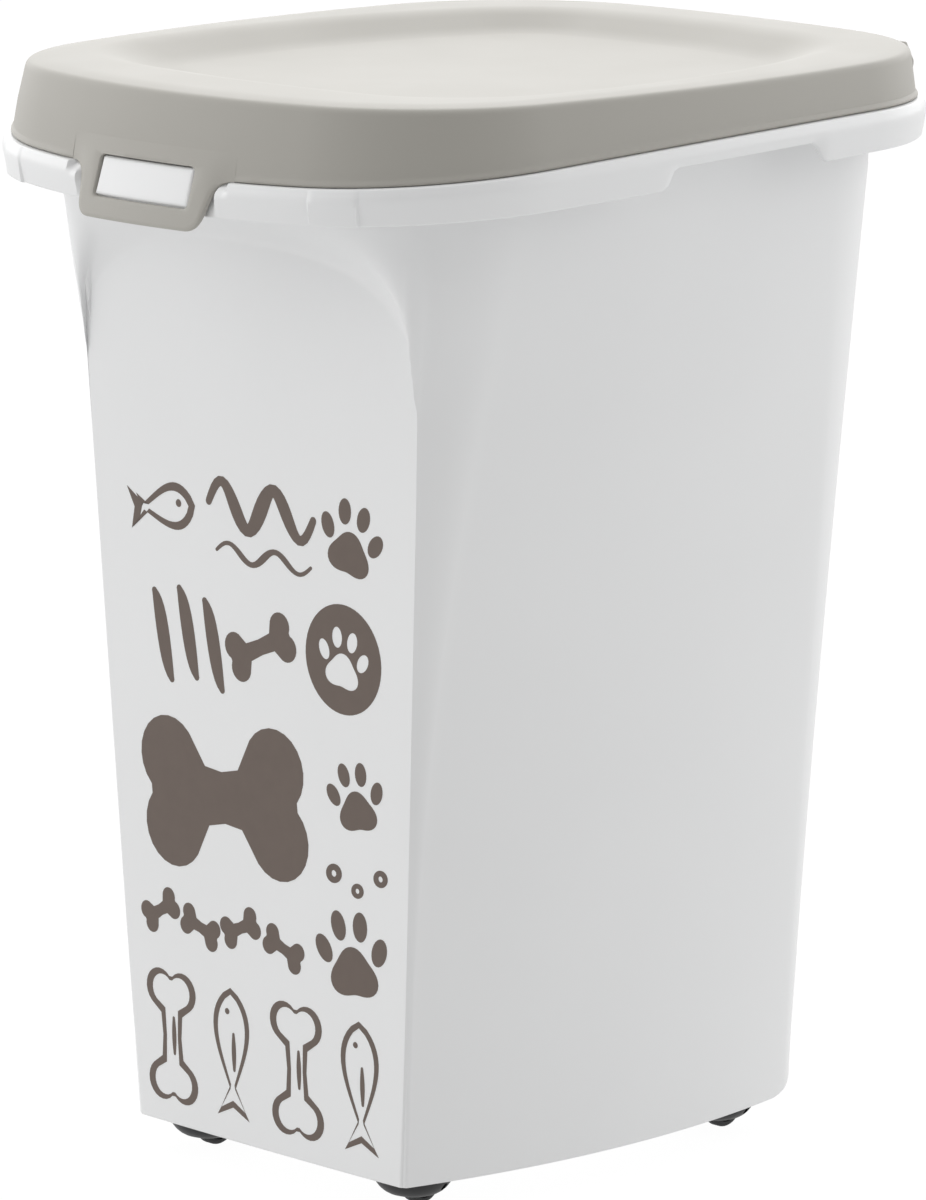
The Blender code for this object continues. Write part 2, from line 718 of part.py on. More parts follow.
def latch():
    """A loop that hangs from the lid's skirt; its window closes round the catch."""
    outer = rounded_loop([(LATCH_HALF_TOP, LATCH_TOP), (-LATCH_HALF_TOP, LATCH_TOP),
                          (-LATCH_HALF_FOOT, LATCH_FOOT), (LATCH_HALF_FOOT, LATCH_FOOT)],
                         [0.6 * MM, 0.6 * MM, 7 * MM, 7 * MM], 6)
    foot_half = WINDOW_HALF - 0.6 * MM
    inner = rounded_loop([(WINDOW_HALF, WINDOW[1]), (-WINDOW_HALF, WINDOW[1]),
                          (-foot_half, WINDOW[0]), (foot_half, WINDOW[0])], [2 * MM] * 4, 6)
    outer_parts, inner_parts = matched(outer, inner)
    data = bmesh.new()
    rings = []
    layers = ((outer_parts, 0), (inner_parts, 0), (inner_parts, LID_WALL), (outer_parts, LID_WALL))
    for loop, depth in layers:
        rings.append([data.verts.new((x, latch_face(x, z) + depth, z + FLOOR_GAP)) for x, z in loop])
    for place, ring in enumerate(rings):
        following = rings[(place + 1) % len(rings)]
        for step in range(len(ring)):
            ahead = (step + 1) % len(ring)
            data.faces.new((ring[step], ring[ahead], following[ahead], following[step]))
    bmesh.ops.recalc_face_normals(data, faces=data.faces)
    item = new_object("latch_loop", data, "lid")
    pivot = bpy.data.objects.new("latch_pivot", None)
    bpy.context.scene.collection.objects.link(pivot)
    middle = latch_face(0, LATCH_PIVOT) + LID_WALL / 2
    pivot.location = (0, middle, LATCH_PIVOT + FLOOR_GAP)
    item.parent = pivot
    item.matrix_parent_inverse = Matrix.Translation(pivot.location).inverted()


# ---------------------------------------------------------------- hinge pins and castors

def hinge_pins():
    """Steel pins that join the ears to the lugs."""
    half = (PIN_SPAN[1] - PIN_SPAN[0]) / 2
    chamfer = 0.4 * MM
    profile = [(PIN_RADIUS - chamfer, -half), (PIN_RADIUS, chamfer - half),
               (PIN_RADIUS, half - chamfer), (PIN_RADIUS - chamfer, half)]
    for side, sign in (("left", -1), ("right", 1)):
        middle = sign * (PIN_SPAN[0] + PIN_SPAN[1]) / 2
        lie_along_x(turned("hinge_pin_" + side, profile, "steel", 12,
                           (middle, HINGE_Y, HINGE_Z + FLOOR_GAP)))


def cup_profile():
    """A domed cup: flat mouth at the foot, round flank and a flat top."""
    profile = [(0, CUP_FOOT), (CUP_MOUTH, CUP_FOOT + 0.3 * MM)]
    rise = CUP_TOP - 4 * MM - CUP_FOOT
    for step in range(1, 6):
        angle = math.radians(18 * step)
        profile.append((CUP_MOUTH + (CUP_RADIUS - CUP_MOUTH) * math.sin(angle),
                        CUP_FOOT + 0.3 * MM + (rise - 0.3 * MM) * (1 - math.cos(angle))))
    profile += [(CUP_RADIUS - 1.5 * MM, CUP_TOP), (0, CUP_TOP)]
    return profile


def castor(place, x, y):
    """Domed swivel cup with a stem, and a small wheel on an axle behind the stem."""
    pivot = bpy.data.objects.new("castor_pivot_" + place, None)
    bpy.context.scene.collection.objects.link(pivot)
    pivot.location = (x, y, 0)
    cup = turned(f"castor_{place}_cup", cup_profile(), "castor", 24)
    slot = box_tool("slot_" + place, (WHEEL_WIDTH / 2 + 0.6 * MM, WHEEL_RADIUS + 0.8 * MM),
                    (0, WHEEL_TRAIL), (0, 2 * WHEEL_RADIUS + 0.8 * MM))
    combine(cup, slot, "DIFFERENCE")
    bore = turned("bore_" + place, [(AXLE_RADIUS + CLEAR, -CUP_RADIUS), (AXLE_RADIUS + CLEAR, CUP_RADIUS)],
                  "steel", 12, (0, WHEEL_TRAIL, WHEEL_RADIUS))
    lie_along_x(bore)
    combine(cup, bore, "DIFFERENCE")
    flange, flange_top = STEM_FLANGE[0], CUP_TOP + STEM_FLANGE[1]
    stem = turned(f"castor_{place}_stem", [(flange, CUP_TOP + CLEAR), (flange, flange_top),
                                           (STEM_RADIUS, flange_top),
                                           (STEM_RADIUS, STEM_TOP - 1 * MM),
                                           (STEM_RADIUS - 1 * MM, STEM_TOP)], "steel", 16)
    axle = turned(f"castor_{place}_axle", [(AXLE_RADIUS, -AXLE_HALF), (AXLE_RADIUS, AXLE_HALF)],
                  "steel", 12, (0, WHEEL_TRAIL, WHEEL_RADIUS))
    lie_along_x(axle)
    wheel = castor_wheel(place)
    for piece in (cup, slot, bore, stem, axle, wheel):
        piece.parent = pivot


def box_tool(name, half, centre, heights):
    data = bmesh.new()
    bmesh.ops.create_cube(data, size=1)
    for corner in data.verts:
        corner.co.x = centre[0] + 2 * half[0] * corner.co.x
        corner.co.y = centre[1] + 2 * half[1] * corner.co.y
        corner.co.z = heights[0] if corner.co.z < 0 else heights[1]
    return new_object(name, data, "castor")


def castor_wheel(place):
    """A small wheel with rounded shoulders and a bore for its axle."""
    half = WHEEL_WIDTH / 2
    bore = AXLE_RADIUS + CLEAR
    lip, shoulder = (WHEEL_RADIUS - drop for drop in WHEEL_SHOULDER)
    profile = [(bore, -half), (lip, -half), (shoulder, -half * 0.7), (WHEEL_RADIUS, 0),
               (shoulder, half * 0.7), (lip, half), (bore, half)]
    steps = 24
    data = bmesh.new()
    rings = []
    for radius, along in profile:
        angles = [2 * math.pi * step / steps for step in range(steps)]
        rings.append([data.verts.new((along, radius * math.cos(a), radius * math.sin(a)))
                      for a in angles])
    for order, ring in enumerate(rings):
        following = rings[(order + 1) % len(rings)]
        for step in range(steps):
            ahead = (step + 1) % steps
            data.faces.new((ring[step], ring[ahead], following[ahead], following[step]))
    bmesh.ops.recalc_face_normals(data, faces=data.faces)
    wheel = new_object(f"castor_{place}_wheel", data, "castor")
    wheel.location = (0, WHEEL_TRAIL, WHEEL_RADIUS)
    return wheel


def main():
    for item in list(bpy.data.objects):
        bpy.data.objects.remove(item, do_unlink=True)
    bin_body()
    lid()
    lid_seal()
    latch()
    hinge_pins()
    for place, (x, y) in castor_places():
        castor(place, x, y)


main()
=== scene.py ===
"""Looks of the pet food bin: white tub, warm grey lid with its latch tongue, hinges and castors.

Metres, +Z up; the front faces -Y. Heights are measured from the tub's lower edge, which
stands FLOOR_GAP above the floor. A wall is a grid of half rows, each from the front centre
round the right side to the rear centre, that is mirrored to the left side.
"""
import json
import math

import bmesh
import bpy
import numpy as np
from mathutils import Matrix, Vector
from mathutils.geometry import tessellate_polygon


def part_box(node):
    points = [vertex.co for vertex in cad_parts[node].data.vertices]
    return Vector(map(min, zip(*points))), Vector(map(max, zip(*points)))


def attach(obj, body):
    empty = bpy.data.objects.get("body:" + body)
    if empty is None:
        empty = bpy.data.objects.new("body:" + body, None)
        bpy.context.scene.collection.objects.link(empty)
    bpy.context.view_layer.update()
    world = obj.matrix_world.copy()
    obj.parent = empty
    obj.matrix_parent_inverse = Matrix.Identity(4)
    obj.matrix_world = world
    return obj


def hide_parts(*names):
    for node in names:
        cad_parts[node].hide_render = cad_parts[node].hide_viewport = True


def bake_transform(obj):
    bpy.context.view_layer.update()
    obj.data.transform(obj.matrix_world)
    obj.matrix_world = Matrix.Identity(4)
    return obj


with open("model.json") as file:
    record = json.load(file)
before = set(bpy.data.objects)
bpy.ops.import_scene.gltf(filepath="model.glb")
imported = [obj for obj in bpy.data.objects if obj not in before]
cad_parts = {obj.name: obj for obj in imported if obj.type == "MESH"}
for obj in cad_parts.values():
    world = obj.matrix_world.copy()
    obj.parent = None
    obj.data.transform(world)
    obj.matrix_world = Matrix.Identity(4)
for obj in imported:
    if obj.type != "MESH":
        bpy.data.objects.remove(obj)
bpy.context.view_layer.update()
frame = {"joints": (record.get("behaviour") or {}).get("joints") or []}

MM = 0.001
JOINTS = {joint["name"]: joint for joint in frame["joints"]}

# Tub
FLOOR_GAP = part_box("bin_body")[0].z
WALL_TOP = 385 * MM                      # where the wall meets the rim
WALL = 2.5 * MM
PLATE = (24 * MM, 26.5 * MM)             # underside and top of the tub's floor
PANEL_HALF = 77.1 * MM                   # flat front panel, at the lower edge
PANEL_DEPTH = 109.6 * MM
PANEL_SPREAD = 0.0574
PANEL_LEAN = 0.0263
PANEL_BOW = 1.1 * MM
ARCH_START = 308 * MM
ARCH_TOP = 366 * MM
ARCH_POWER = 2.6
FRACTION_POWER = 0.92
FOOT_FRONT_RADIUS = 5 * MM
FOOT_REAR_CORNER = (66.7 * MM, 93.7 * MM)
FOOT_REAR_RADIUS = 20 * MM
FOOT_BOWS = (1.1 * MM, 12.5 * MM, 1.1 * MM)
HEEL_ROUND = 23 * MM
CORNER_GROWTH = 2.5
REAR_GROWTH = 1.12
FLARE_POWER = 1.7
EDGE_ROUND = 3.2 * MM                    # softness of the front vertical edges
BROW_ROUND = 11 * MM                     # and of the wall above them
ARCH_ROUND = 2.6 * MM

# Rim
WALL_INSET = 19 * MM
BAND_TOP_PROUD = 3.0 * MM
BAND_MIDDLE_PROUD = 4.3 * MM
BAND_FOOT_PROUD = 2.3 * MM
BAND_SHOULDER = 4.5 * MM
BAND_WALL = 2.2 * MM
BAND_FOOT = (386 * MM, 28 * MM, -17.3 * MM)  # height at the front and its rise to the rear
BAND_RECESS = (-1.6 * MM, 0.9 * MM)      # offsets behind the latch, at the band's top and foot
BAND_TOP_RAMP = (43.4 * MM, 45.2 * MM)   # where that recess ends, at the band's top and foot
BAND_FOOT_RAMP = (32 * MM, 34 * MM)
FLANGE = 2.5 * MM
LID_GAP = 0.18 * MM
COLLAR_TOP = 424 * MM
GRIP_RISE = 8.2 * MM
GRIP_SPAN = (-37 * MM, -31 * MM, 46 * MM, 54 * MM)
PAD_YAWS = (18.4, 31.2)                  # degrees round the front corner from straight ahead
PAD_PROUD = 0.5 * MM

# Lid
LID_REACH = 400.2 * MM
LID_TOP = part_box("lid")[1].z - FLOOR_GAP
LID_FRONT_CORNER = (53.7 * MM, 77.4 * MM)
LID_REAR_CORNER = (52.5 * MM, 77.4 * MM)
LID_RADII = (86.4 * MM, 89.0 * MM)
LID_BOWS = (7.0 * MM, 5.6 * MM, 3.0 * MM)
LID_EDGE_RISE = (35.0 * MM, -23.3 * MM)
LID_WALL = 2.4 * MM
SKIRT_SLOPE = 0.175                      # of the skirt's lower part
SKIRT_LEAN = (0.25, 0.12)                # and of its upper part, at the front and the rear
SHOULDER = (1.3 * MM, 0.4 * MM)          # drop of the slope round the top, at the front and the rear
SHOULDER_WIDTH = 8.5 * MM
BEAD = 0.7 * MM
RECESS_FRONT = (58 * MM, 58.5 * MM)
RECESS_REAR = (47 * MM, 78 * MM)
RECESS_RADII = (60 * MM, 57 * MM)
RECESS_BOWS = (4 * MM, 9 * MM, 4 * MM)
RECESS_RUN = 22 * MM
RECESS_DEPTH = 8 * MM
PLUG = (-24.2 * MM, -26.4 * MM)
PLUG_FOOT = 415 * MM
SEAL = (-17.6 * MM, -23.4 * MM)
CLEAR = 0.3 * MM

# Latch tongue: a tab in the skirt that ends in a loop round the catch
TAB_HALF = 46.3 * MM
TAB_TOP = 411.4 * MM
TONGUE_FOOT = 380.8 * MM
TONGUE_LEAN = 0.14                       # extra slope of the loop over the skirt's
LEAN_REACH = 33 * MM                     # the loop leans fully up to here, and not at the tab's edge
TONGUE_ROUND = 0.9 * MM                  # of its free edges
WINDOW_HALF = 26.8 * MM
WINDOW = (388.8 * MM, 404.6 * MM)
CATCH_HALF = 26.2 * MM
CATCH = (389.3 * MM, 404.1 * MM)
CATCH_DEPTH = 0.8 * MM                   # how far the catch stays behind the loop's face
CATCH_BACK = 8.5 * MM
CATCH_ROUND = 1.5 * MM

# Hinge
HINGE = Vector(JOINTS["lid_hinge"]["pos_m"])
KNUCKLE_RADIUS = 5.4 * MM
EAR_SPAN = (68 * MM, 81 * MM)
LUG_SPAN = (54 * MM, 67.6 * MM)
LUG_NECK = 4.2 * MM                      # distances from the hinge line
LUG_WAIST = 6 * MM
LUG_ROOT = 10 * MM
EAR_TOP = ((1 * MM, -4.4 * MM), (-17 * MM, -1.4 * MM), (-14 * MM, -8 * MM))  # from hinge line and lid top
EAR_ROOT = 11 * MM
PIN_RADIUS = 2.2 * MM
PIN_HEAD = (3.6 * MM, 1.5 * MM)          # radius and height of its dome

# Castors
CUP_MOUTH = 7 * MM                       # radius where the dome's flank starts
WHEEL_ROOM = (0.6 * MM, 0.8 * MM)        # beside the wheel and round it
STEM_RADIUS = 4 * MM
FLANGE_HEIGHT = 1.3 * MM
SOCKET_RADII = (8 * MM, 4.3 * MM)
SOCKET = (24.8 * MM, 45 * MM)            # its foot and its top

# Fineness of the grids
FRONT_COLUMNS = 52
CORNER_COLUMNS = 18
SIDE_COLUMNS = 60
REAR_CORNER_COLUMNS = 22
REAR_COLUMNS = 16
TAB_PAIR = 0.06 * MM                     # between the two columns at an edge of the latch tab
SHARP_DEGREES = 38                       # an edge that bends more than this is shaded as a sharp one
SEAM = 0.001 * MM                        # points closer than this are joined
CREASE_NORMAL = np.array([1.0, -1.0]) / math.sqrt(2)


# ---------------- plan curves

def bowed_side(start, end, bow, steps):
    """Points and outward normals along an arc from start to end that bulges by bow."""
    start, end = np.array(start), np.array(end)
    half = np.linalg.norm(end - start) / 2
    along = (end - start) / (2 * half)
    out = np.array([along[1], -along[0]])
    half_angle = 2 * math.atan(bow / half)
    radius = half / math.sin(half_angle)
    centre = (start + end) / 2 + out * (bow - radius)
    angles = (2 * np.asarray(steps) - 1) * half_angle
    normals = np.outer(np.cos(angles), out) + np.outer(np.sin(angles), along)
    return centre + normals * radius, normals


def turned_normals(start, end, count, also=()):
    """Unit vectors that turn from start to end, both left out, through extra yaws as well."""
    first, last = (math.atan2(normal[1], normal[0]) for normal in (start, end))
    extra = [math.radians(yaw - 90) for yaw in also]
    angles = np.sort(np.concatenate([np.linspace(first, last, count + 1)[1:-1], extra]))
    return np.column_stack([np.cos(angles), np.sin(angles)])


FRONT_HALF_ANGLE = 2 * math.atan(LID_BOWS[0] / LID_FRONT_CORNER[0])
FRONT_RADIUS = LID_FRONT_CORNER[0] / math.sin(FRONT_HALF_ANGLE) + LID_RADII[0]


def front_steps():
    """Columns across the front, with a close pair at each edge of the latch tab."""
    reach = FRONT_RADIUS * math.sin(FRONT_HALF_ANGLE)
    apart = reach / FRONT_COLUMNS
    stops = [stop for stop in np.linspace(0, reach, FRONT_COLUMNS + 1)[:-1]
             if abs(stop - TAB_HALF) > apart / 2]
    stops = sorted(stops + [TAB_HALF, TAB_HALF + TAB_PAIR])
    return [0.5 + math.asin(stop / FRONT_RADIUS) / FRONT_HALF_ANGLE / 2 for stop in stops] + [1.0]


def side_steps():
    low, high = -LID_FRONT_CORNER[1], LID_REAR_CORNER[1]
    corners = [(stop - low) / (high - low) for stop in GRIP_SPAN]
    apart = 0.3 / SIDE_COLUMNS
    even = [step for step in np.linspace(0, 1, SIDE_COLUMNS + 1)
            if min(abs(step - corner) for corner in corners) > apart]
    return sorted(even + corners)


FRONT_STEPS = front_steps()
SIDE_STEPS = side_steps()
REAR_STEPS = np.linspace(0, 0.5, REAR_COLUMNS + 1)
PAD_EDGES = [yaw + side for yaw in PAD_YAWS for side in (-0.25, 0.25)]


def plan(front_corner, rear_corner, bows, radii):
    """Outline points and normals of every column, front centre to rear centre."""
    (front_x, front_y), (rear_x, rear_y) = front_corner, rear_corner
    front, front_out = bowed_side((-front_x, -front_y), (front_x, -front_y), bows[0], FRONT_STEPS)
    side, side_out = bowed_side((front_x, -front_y), (rear_x, rear_y), bows[1], SIDE_STEPS)
    rear, rear_out = bowed_side((rear_x, rear_y), (-rear_x, rear_y), bows[2], REAR_STEPS)
    before = turned_normals(front_out[-1], CREASE_NORMAL, CORNER_COLUMNS, PAD_EDGES)
    after = turned_normals(CREASE_NORMAL, side_out[0], CORNER_COLUMNS)
    behind = turned_normals(side_out[-1], rear_out[0], REAR_CORNER_COLUMNS)
    corner = np.vstack([before, [CREASE_NORMAL], after])
    base = np.vstack([front, np.tile([front_x, -front_y], (len(corner), 1)), side,
                      np.tile([rear_x, rear_y], (len(behind), 1)), rear])
    normals = np.vstack([front_out, corner, side_out, behind, rear_out])
    ahead = np.zeros(len(front) + len(corner))
    share = np.concatenate([ahead, SIDE_STEPS, np.ones(len(behind) + len(rear))])
    radius = radii[0] + (radii[1] - radii[0]) * share
    return base + normals * radius[:, None], normals


RIM, RIM_OUT = plan(LID_FRONT_CORNER, LID_REAR_CORNER, LID_BOWS, LID_RADII)
RECESS, RECESS_OUT = plan(RECESS_FRONT, RECESS_REAR, RECESS_BOWS, RECESS_RADII)
COLUMNS = len(RIM)
CREASE = len(FRONT_STEPS) + CORNER_COLUMNS - 1 + len(PAD_EDGES)
ACROSS = RIM[:, 0]
REAR_SHARE = (RIM[:, 1] - RIM[0, 1]) / (RIM[-1, 1] - RIM[0, 1])
YAW = np.degrees(np.arctan2(RIM_OUT[:, 0], -RIM_OUT[:, 1]))
IN_FRONT = np.arange(COLUMNS) < CREASE
FRACTION = np.sin(math.pi / 2 * np.minimum(ACROSS / ACROSS[CREASE], 1) ** FRACTION_POWER)
ARCH = ARCH_START + (ARCH_TOP - ARCH_START) * (1 - FRACTION ** ARCH_POWER) ** (1 / ARCH_POWER)


def edge_height(share):
    """Height of the lid's lower edge at a share of the way to the rear."""
    return LID_REACH + LID_EDGE_RISE[0] * share + LID_EDGE_RISE[1] * share ** 2


LID_EDGE = edge_height(REAR_SHARE)


def ease(low, high, value):
    share = np.clip((value - low) / (high - low), 0, 1)
    return share * share * (3 - 2 * share)


def row(outline, normals, offset, height):
    """A half row at an offset from an outline; offset and height may vary by column."""
    offset = np.broadcast_to(offset, COLUMNS)[:, None]
    height = np.broadcast_to(height, COLUMNS)
    return np.column_stack([outline + normals * offset, height])


def rim_row(offset, height):
    return row(RIM, RIM_OUT, offset, height)


def recess_row(offset, height):
    return row(RECESS, RECESS_OUT, offset, height)


# ---------------- grid helpers

def softened(line, corner, reach):
    """Rounds a line's corner: each point near it moves to the mean of the line around it."""
    if reach <= 0:
        return line
    steps = np.linalg.norm(np.diff(line, axis=0), axis=1)
    along = np.concatenate([[0], np.cumsum(steps)])
    result = line.copy()
    for place in np.nonzero(abs(along - along[corner]) < reach)[0]:
        half = reach - abs(along[place] - along[corner])
        window = along[place] + half * np.linspace(-1, 1, 11)
        result[place] = [np.interp(window, along, line[:, axis]).mean() for axis in range(3)]
    return result


def rounded(corners, closed=False, steps=4):
    """Rows through (corner row, reach) pairs; a corner with a reach becomes a curve."""
    rows = []
    last = len(corners) - 1
    for place, (corner, reach) in enumerate(corners):
        if np.isscalar(reach) and reach == 0:
            rows.append(corner)
            continue
        ends = []
        for neighbour in (corners[place - 1][0], corners[0 if place == last else place + 1][0]):
            away = neighbour - corner
            length = np.maximum(np.linalg.norm(away, axis=1, keepdims=True), 1e-9)
            limit = np.minimum(np.reshape(reach, (-1, 1)), 0.45 * length)
            ends.append(corner + away / length * limit)
        for t in np.linspace(0, 1, steps + 1):
            rows.append((1 - t) ** 2 * ends[0] + 2 * t * (1 - t) * corner + t ** 2 * ends[1])
    return rows


def piece(name, points, faces, body, material):
    """A smooth-shaded mesh that rides on a body."""
    mesh = bpy.data.meshes.new(name)
    mesh.from_pydata([tuple(point) for point in points], [], faces)
    mesh.validate()
    return dressed(mesh, name, body, material)


def added(name, data):
    """A new object in the scene."""
    item = bpy.data.objects.new(name, data)
    bpy.context.scene.collection.objects.link(item)
    return item


def smooth(mesh):
    mesh.shade_smooth()
    mesh.set_sharp_from_angle(angle=math.radians(SHARP_DEGREES))


def dressed(mesh, name, body, material):
    smooth(mesh)
    mesh.materials.clear()
    mesh.materials.append(material)
    item = added(name, mesh)
    if body:
        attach(item, body)
    return item


def bands(rings, around, closed=False):
    """Quads between each ring of points and the next."""
    faces = []
    for ring in range(rings if closed else rings - 1):
        low, high = ring * around, (ring + 1) % rings * around
        for step in range(around):
            ahead = (step + 1) % around
            faces.append((low + step, low + ahead, high + ahead, high + step))
    return faces


def skin(name, rows, body, material, closed=False):
    """A mesh through mirrored half rows, capped at both ends unless its profile is closed."""
    rings = [np.vstack([half, half[1:-1][::-1] * (-1, 1, 1)]) for half in rows]
    points = np.vstack(rings) + (0, 0, FLOOR_GAP)
    around, count = len(rings[0]), len(rings)
    faces = bands(count, around, closed)
    if not closed:
        faces.append(tuple(reversed(range(around))))
        faces.append(tuple(range((count - 1) * around, count * around)))
    return piece(name, points, faces, body, material)


# ---------------- materials

def shaded(name):
    """A new material, its node tree and its main shader."""
    made = bpy.data.materials.new(name)
    made.use_nodes = True
    return made, made.node_tree, made.node_tree.nodes["Principled BSDF"]


def put(tree, item, inputs):
    """Sets a node's inputs to values, or links them from other nodes' outputs."""
    for key, value in inputs.items():
        if isinstance(value, bpy.types.NodeSocket):
            tree.links.new(value, item.inputs[key])
        else:
            item.inputs[key].default_value = value


def node(tree, kind, inputs, output=0, **settings):
    """Adds a node with its settings and inputs, and gives one of its outputs."""
    item = tree.nodes.new("ShaderNode" + kind)
    for key, value in settings.items():
        setattr(item, key, value)
    put(tree, item, inputs)
    return item.outputs[output]


def noise(tree, scale, detail):
    place = node(tree, "TexCoord", {}, "Object")
    return node(tree, "TexNoise", {"Vector": place, "Scale": scale, "Detail": detail})


def spread(tree, value, low, high):
    """Maps a 0 to 1 value onto a range."""
    return node(tree, "MapRange", {"Value": value, "To Min": low, "To Max": high})


def mixed(tree, first, second, share):
    """A colour between two; a colour is three channels or another node's output."""
    first, second = (colour if isinstance(colour, bpy.types.NodeSocket) else (*colour, 1)
                     for colour in (first, second))
    return node(tree, "Mix", {"A": first, "B": second, "Factor": share}, "Result", data_type="RGBA")


def varied(colour, factor):
    return [min(channel * factor, 1) for channel in colour]


def moulded(name, colour, roughness, grain, wave, edge=0.06):
    """Injection-moulded plastic: fine grain, faint flow waves, and convex edges painted paler as a
    highlight, by up to edge.
    """
    made, tree, shader = shaded(name)
    cloud, flow, fine = (noise(tree, *texture) for texture in ((9.0, 4.0), (26.0, 2.0), (1900.0, 2.0)))
    tint = mixed(tree, varied(colour, 0.975), varied(colour, 1.02), cloud)
    # Painted highlight: convex edges, found by pointiness, are tinted paler as if they caught the light.
    ridge = node(tree, "NewGeometry", {}, "Pointiness")
    painted_edge_highlight = node(tree, "MapRange", {"Value": ridge, "From Min": 0.52, "From Max": 0.62, "To Max": edge})
    waves = node(tree, "Bump", {"Height": flow, "Distance": wave, "Strength": 1.0})
    grains = node(tree, "Bump", {"Height": fine, "Distance": grain, "Strength": 1.0, "Normal": waves})
    put(tree, shader, {"Base Color": mixed(tree, tint, EDGE_HIGHLIGHT_COLOUR, painted_edge_highlight), "Normal": grains,
                       "Roughness": spread(tree, flow, roughness * 0.92, roughness * 1.1)})
    return made


def drawn_steel(name):
    """Bright wire with fine rings of brushing."""
    made, tree, shader = shaded(name)
    put(tree, shader, {"Metallic": 1.0, "Base Color": (0.58, 0.58, 0.6, 1),
                       "Roughness": spread(tree, noise(tree, 700.0, 3.0), 0.22, 0.42)})
    return made


def ink(name, colour):
    """Screen-printed ink: almost matt, with a faint mottle."""
    made, tree, shader = shaded(name)
    tint = mixed(tree, varied(colour, 0.93), varied(colour, 1.08), noise(tree, 160.0, 5.0))
    put(tree, shader, {"Base Color": tint, "Roughness": 0.5, "Specular IOR Level": 0.35})
    return made


# The paler colour that is painted onto convex edges as a highlight.
EDGE_HIGHLIGHT_COLOUR = (0.93, 0.93, 0.92)
TUB = moulded("tub_plastic", (0.862, 0.866, 0.868), 0.3, 0.002 * MM, 0.02 * MM)
LID = moulded("lid_plastic", (0.403, 0.388, 0.352), 0.46, 0.006 * MM, 0.03 * MM, edge=0.04)
SEAL_RUBBER = moulded("seal_rubber", (0.55, 0.55, 0.53), 0.7, 0.01 * MM, 0.02 * MM, edge=0.0)
CASTOR_NYLON = moulded("castor_nylon", (0.014, 0.014, 0.015), 0.4, 0.004 * MM, 0.01 * MM, edge=0.01)
TREAD = moulded("castor_tread", (0.03, 0.03, 0.031), 0.6, 0.01 * MM, 0.01 * MM, edge=0.0)
STEEL = drawn_steel("pin_steel")
INK = ink("print_ink", (0.145, 0.112, 0.094))


# ---------------- tub

def wall_row(level, inset):
    """One row of the wall; level is 0 at the lower edge, 1 at the arch and 2 at the rim."""
    height = ARCH_START * min(level, 1) + (WALL_TOP - ARCH_START) * max(level - 1, 0)
    share = height / WALL_TOP
    flare = max(level - 1, 0) ** FLARE_POWER
    panel_edge = np.array([PANEL_HALF + PANEL_SPREAD * height, PANEL_DEPTH + PANEL_LEAN * height])
    rim_corner = (RIM - RIM_OUT * WALL_INSET)[CREASE] * (1, -1)
    corner = panel_edge + (rim_corner - panel_edge) * flare
    radii = (FOOT_FRONT_RADIUS + (LID_RADII[0] - WALL_INSET - FOOT_FRONT_RADIUS) * share ** CORNER_GROWTH,
             FOOT_REAR_RADIUS + (LID_RADII[1] - WALL_INSET - FOOT_REAR_RADIUS) * share ** REAR_GROWTH)
    front_corner = corner - radii[0] * math.sqrt(0.5)
    rear_corner = [low + (high - low) * share for low, high in zip(FOOT_REAR_CORNER, LID_REAR_CORNER)]
    bows = [low + (high - low) * share for low, high in zip(FOOT_BOWS, LID_BOWS)]
    result = row(*plan(front_corner, rear_corner, bows, radii), -inset, height)
    fraction = FRACTION[:CREASE]
    low = ARCH[:CREASE] * min(level, 1)
    half = PANEL_HALF + PANEL_SPREAD * low - inset
    depth = PANEL_DEPTH + PANEL_LEAN * low + PANEL_BOW * (1 - fraction ** 2) - inset
    panel = np.column_stack([half * fraction, -depth, low])
    top = rim_row(-WALL_INSET - inset, WALL_TOP)[:CREASE]
    result[:CREASE] = panel + (top - panel) * (flare, flare, max(level - 1, 0))
    return result


def crowned(line, corner, reach, keep):
    """Rounds a line's corner; keep swells the line round it so that its apex stays in place."""
    result = softened(line, corner, reach)
    away = np.linalg.norm(line - line[corner], axis=1) / (2.2 * reach)
    swell = keep * np.clip(1 - away ** 2, 0, 1) ** 2
    return result + swell[:, None] * (line[corner] - result[corner])


def wall_grid(levels, inset):
    """Rows of the wall with its front edges and its arch rounded."""
    grid = []
    for level in levels:
        brow = math.sin(math.pi * min(max(level - 1, 0), 1))
        line, reach = wall_row(level, inset), EDGE_ROUND + BROW_ROUND * brow
        grid.append(crowned(line, CREASE, reach, ease(0.85, 1.15, level)))
    grid = np.array(grid)
    arch = levels.index(1)
    for column in range(CREASE + 1):
        grid[:, column] = softened(grid[:, column], arch, ARCH_ROUND)
    return list(grid)


def heel(foot):
    """How far the lower edge climbs where it rounds up at the rear."""
    rear = FOOT_REAR_CORNER[1] + FOOT_REAR_RADIUS
    past = np.clip(foot[:, 1] - (rear - HEEL_ROUND), 0, HEEL_ROUND)
    return HEEL_ROUND - np.sqrt(HEEL_ROUND ** 2 - past ** 2)


def at_height(half_row, height):
    """A half row moved to a height, or to one height for each column."""
    return np.column_stack([half_row[:, :2], np.broadcast_to(height, COLUMNS)])


def band_offset(proud, drop, pad):
    """How far the band stands out at a share of its height: less so behind the latch."""
    start, end = (foot + (top - foot) * (1 - drop) ** 2
                  for top, foot in zip(BAND_TOP_RAMP, BAND_FOOT_RAMP))
    recess = BAND_RECESS[0] + (BAND_RECESS[1] - BAND_RECESS[0]) * drop
    share = np.where(IN_FRONT, ease(start, end, ACROSS), 1)
    raised = np.where((YAW > PAD_YAWS[0]) & (YAW < PAD_YAWS[1]) & (ACROSS > 0), pad, 0)
    return recess + (proud - recess) * share + raised


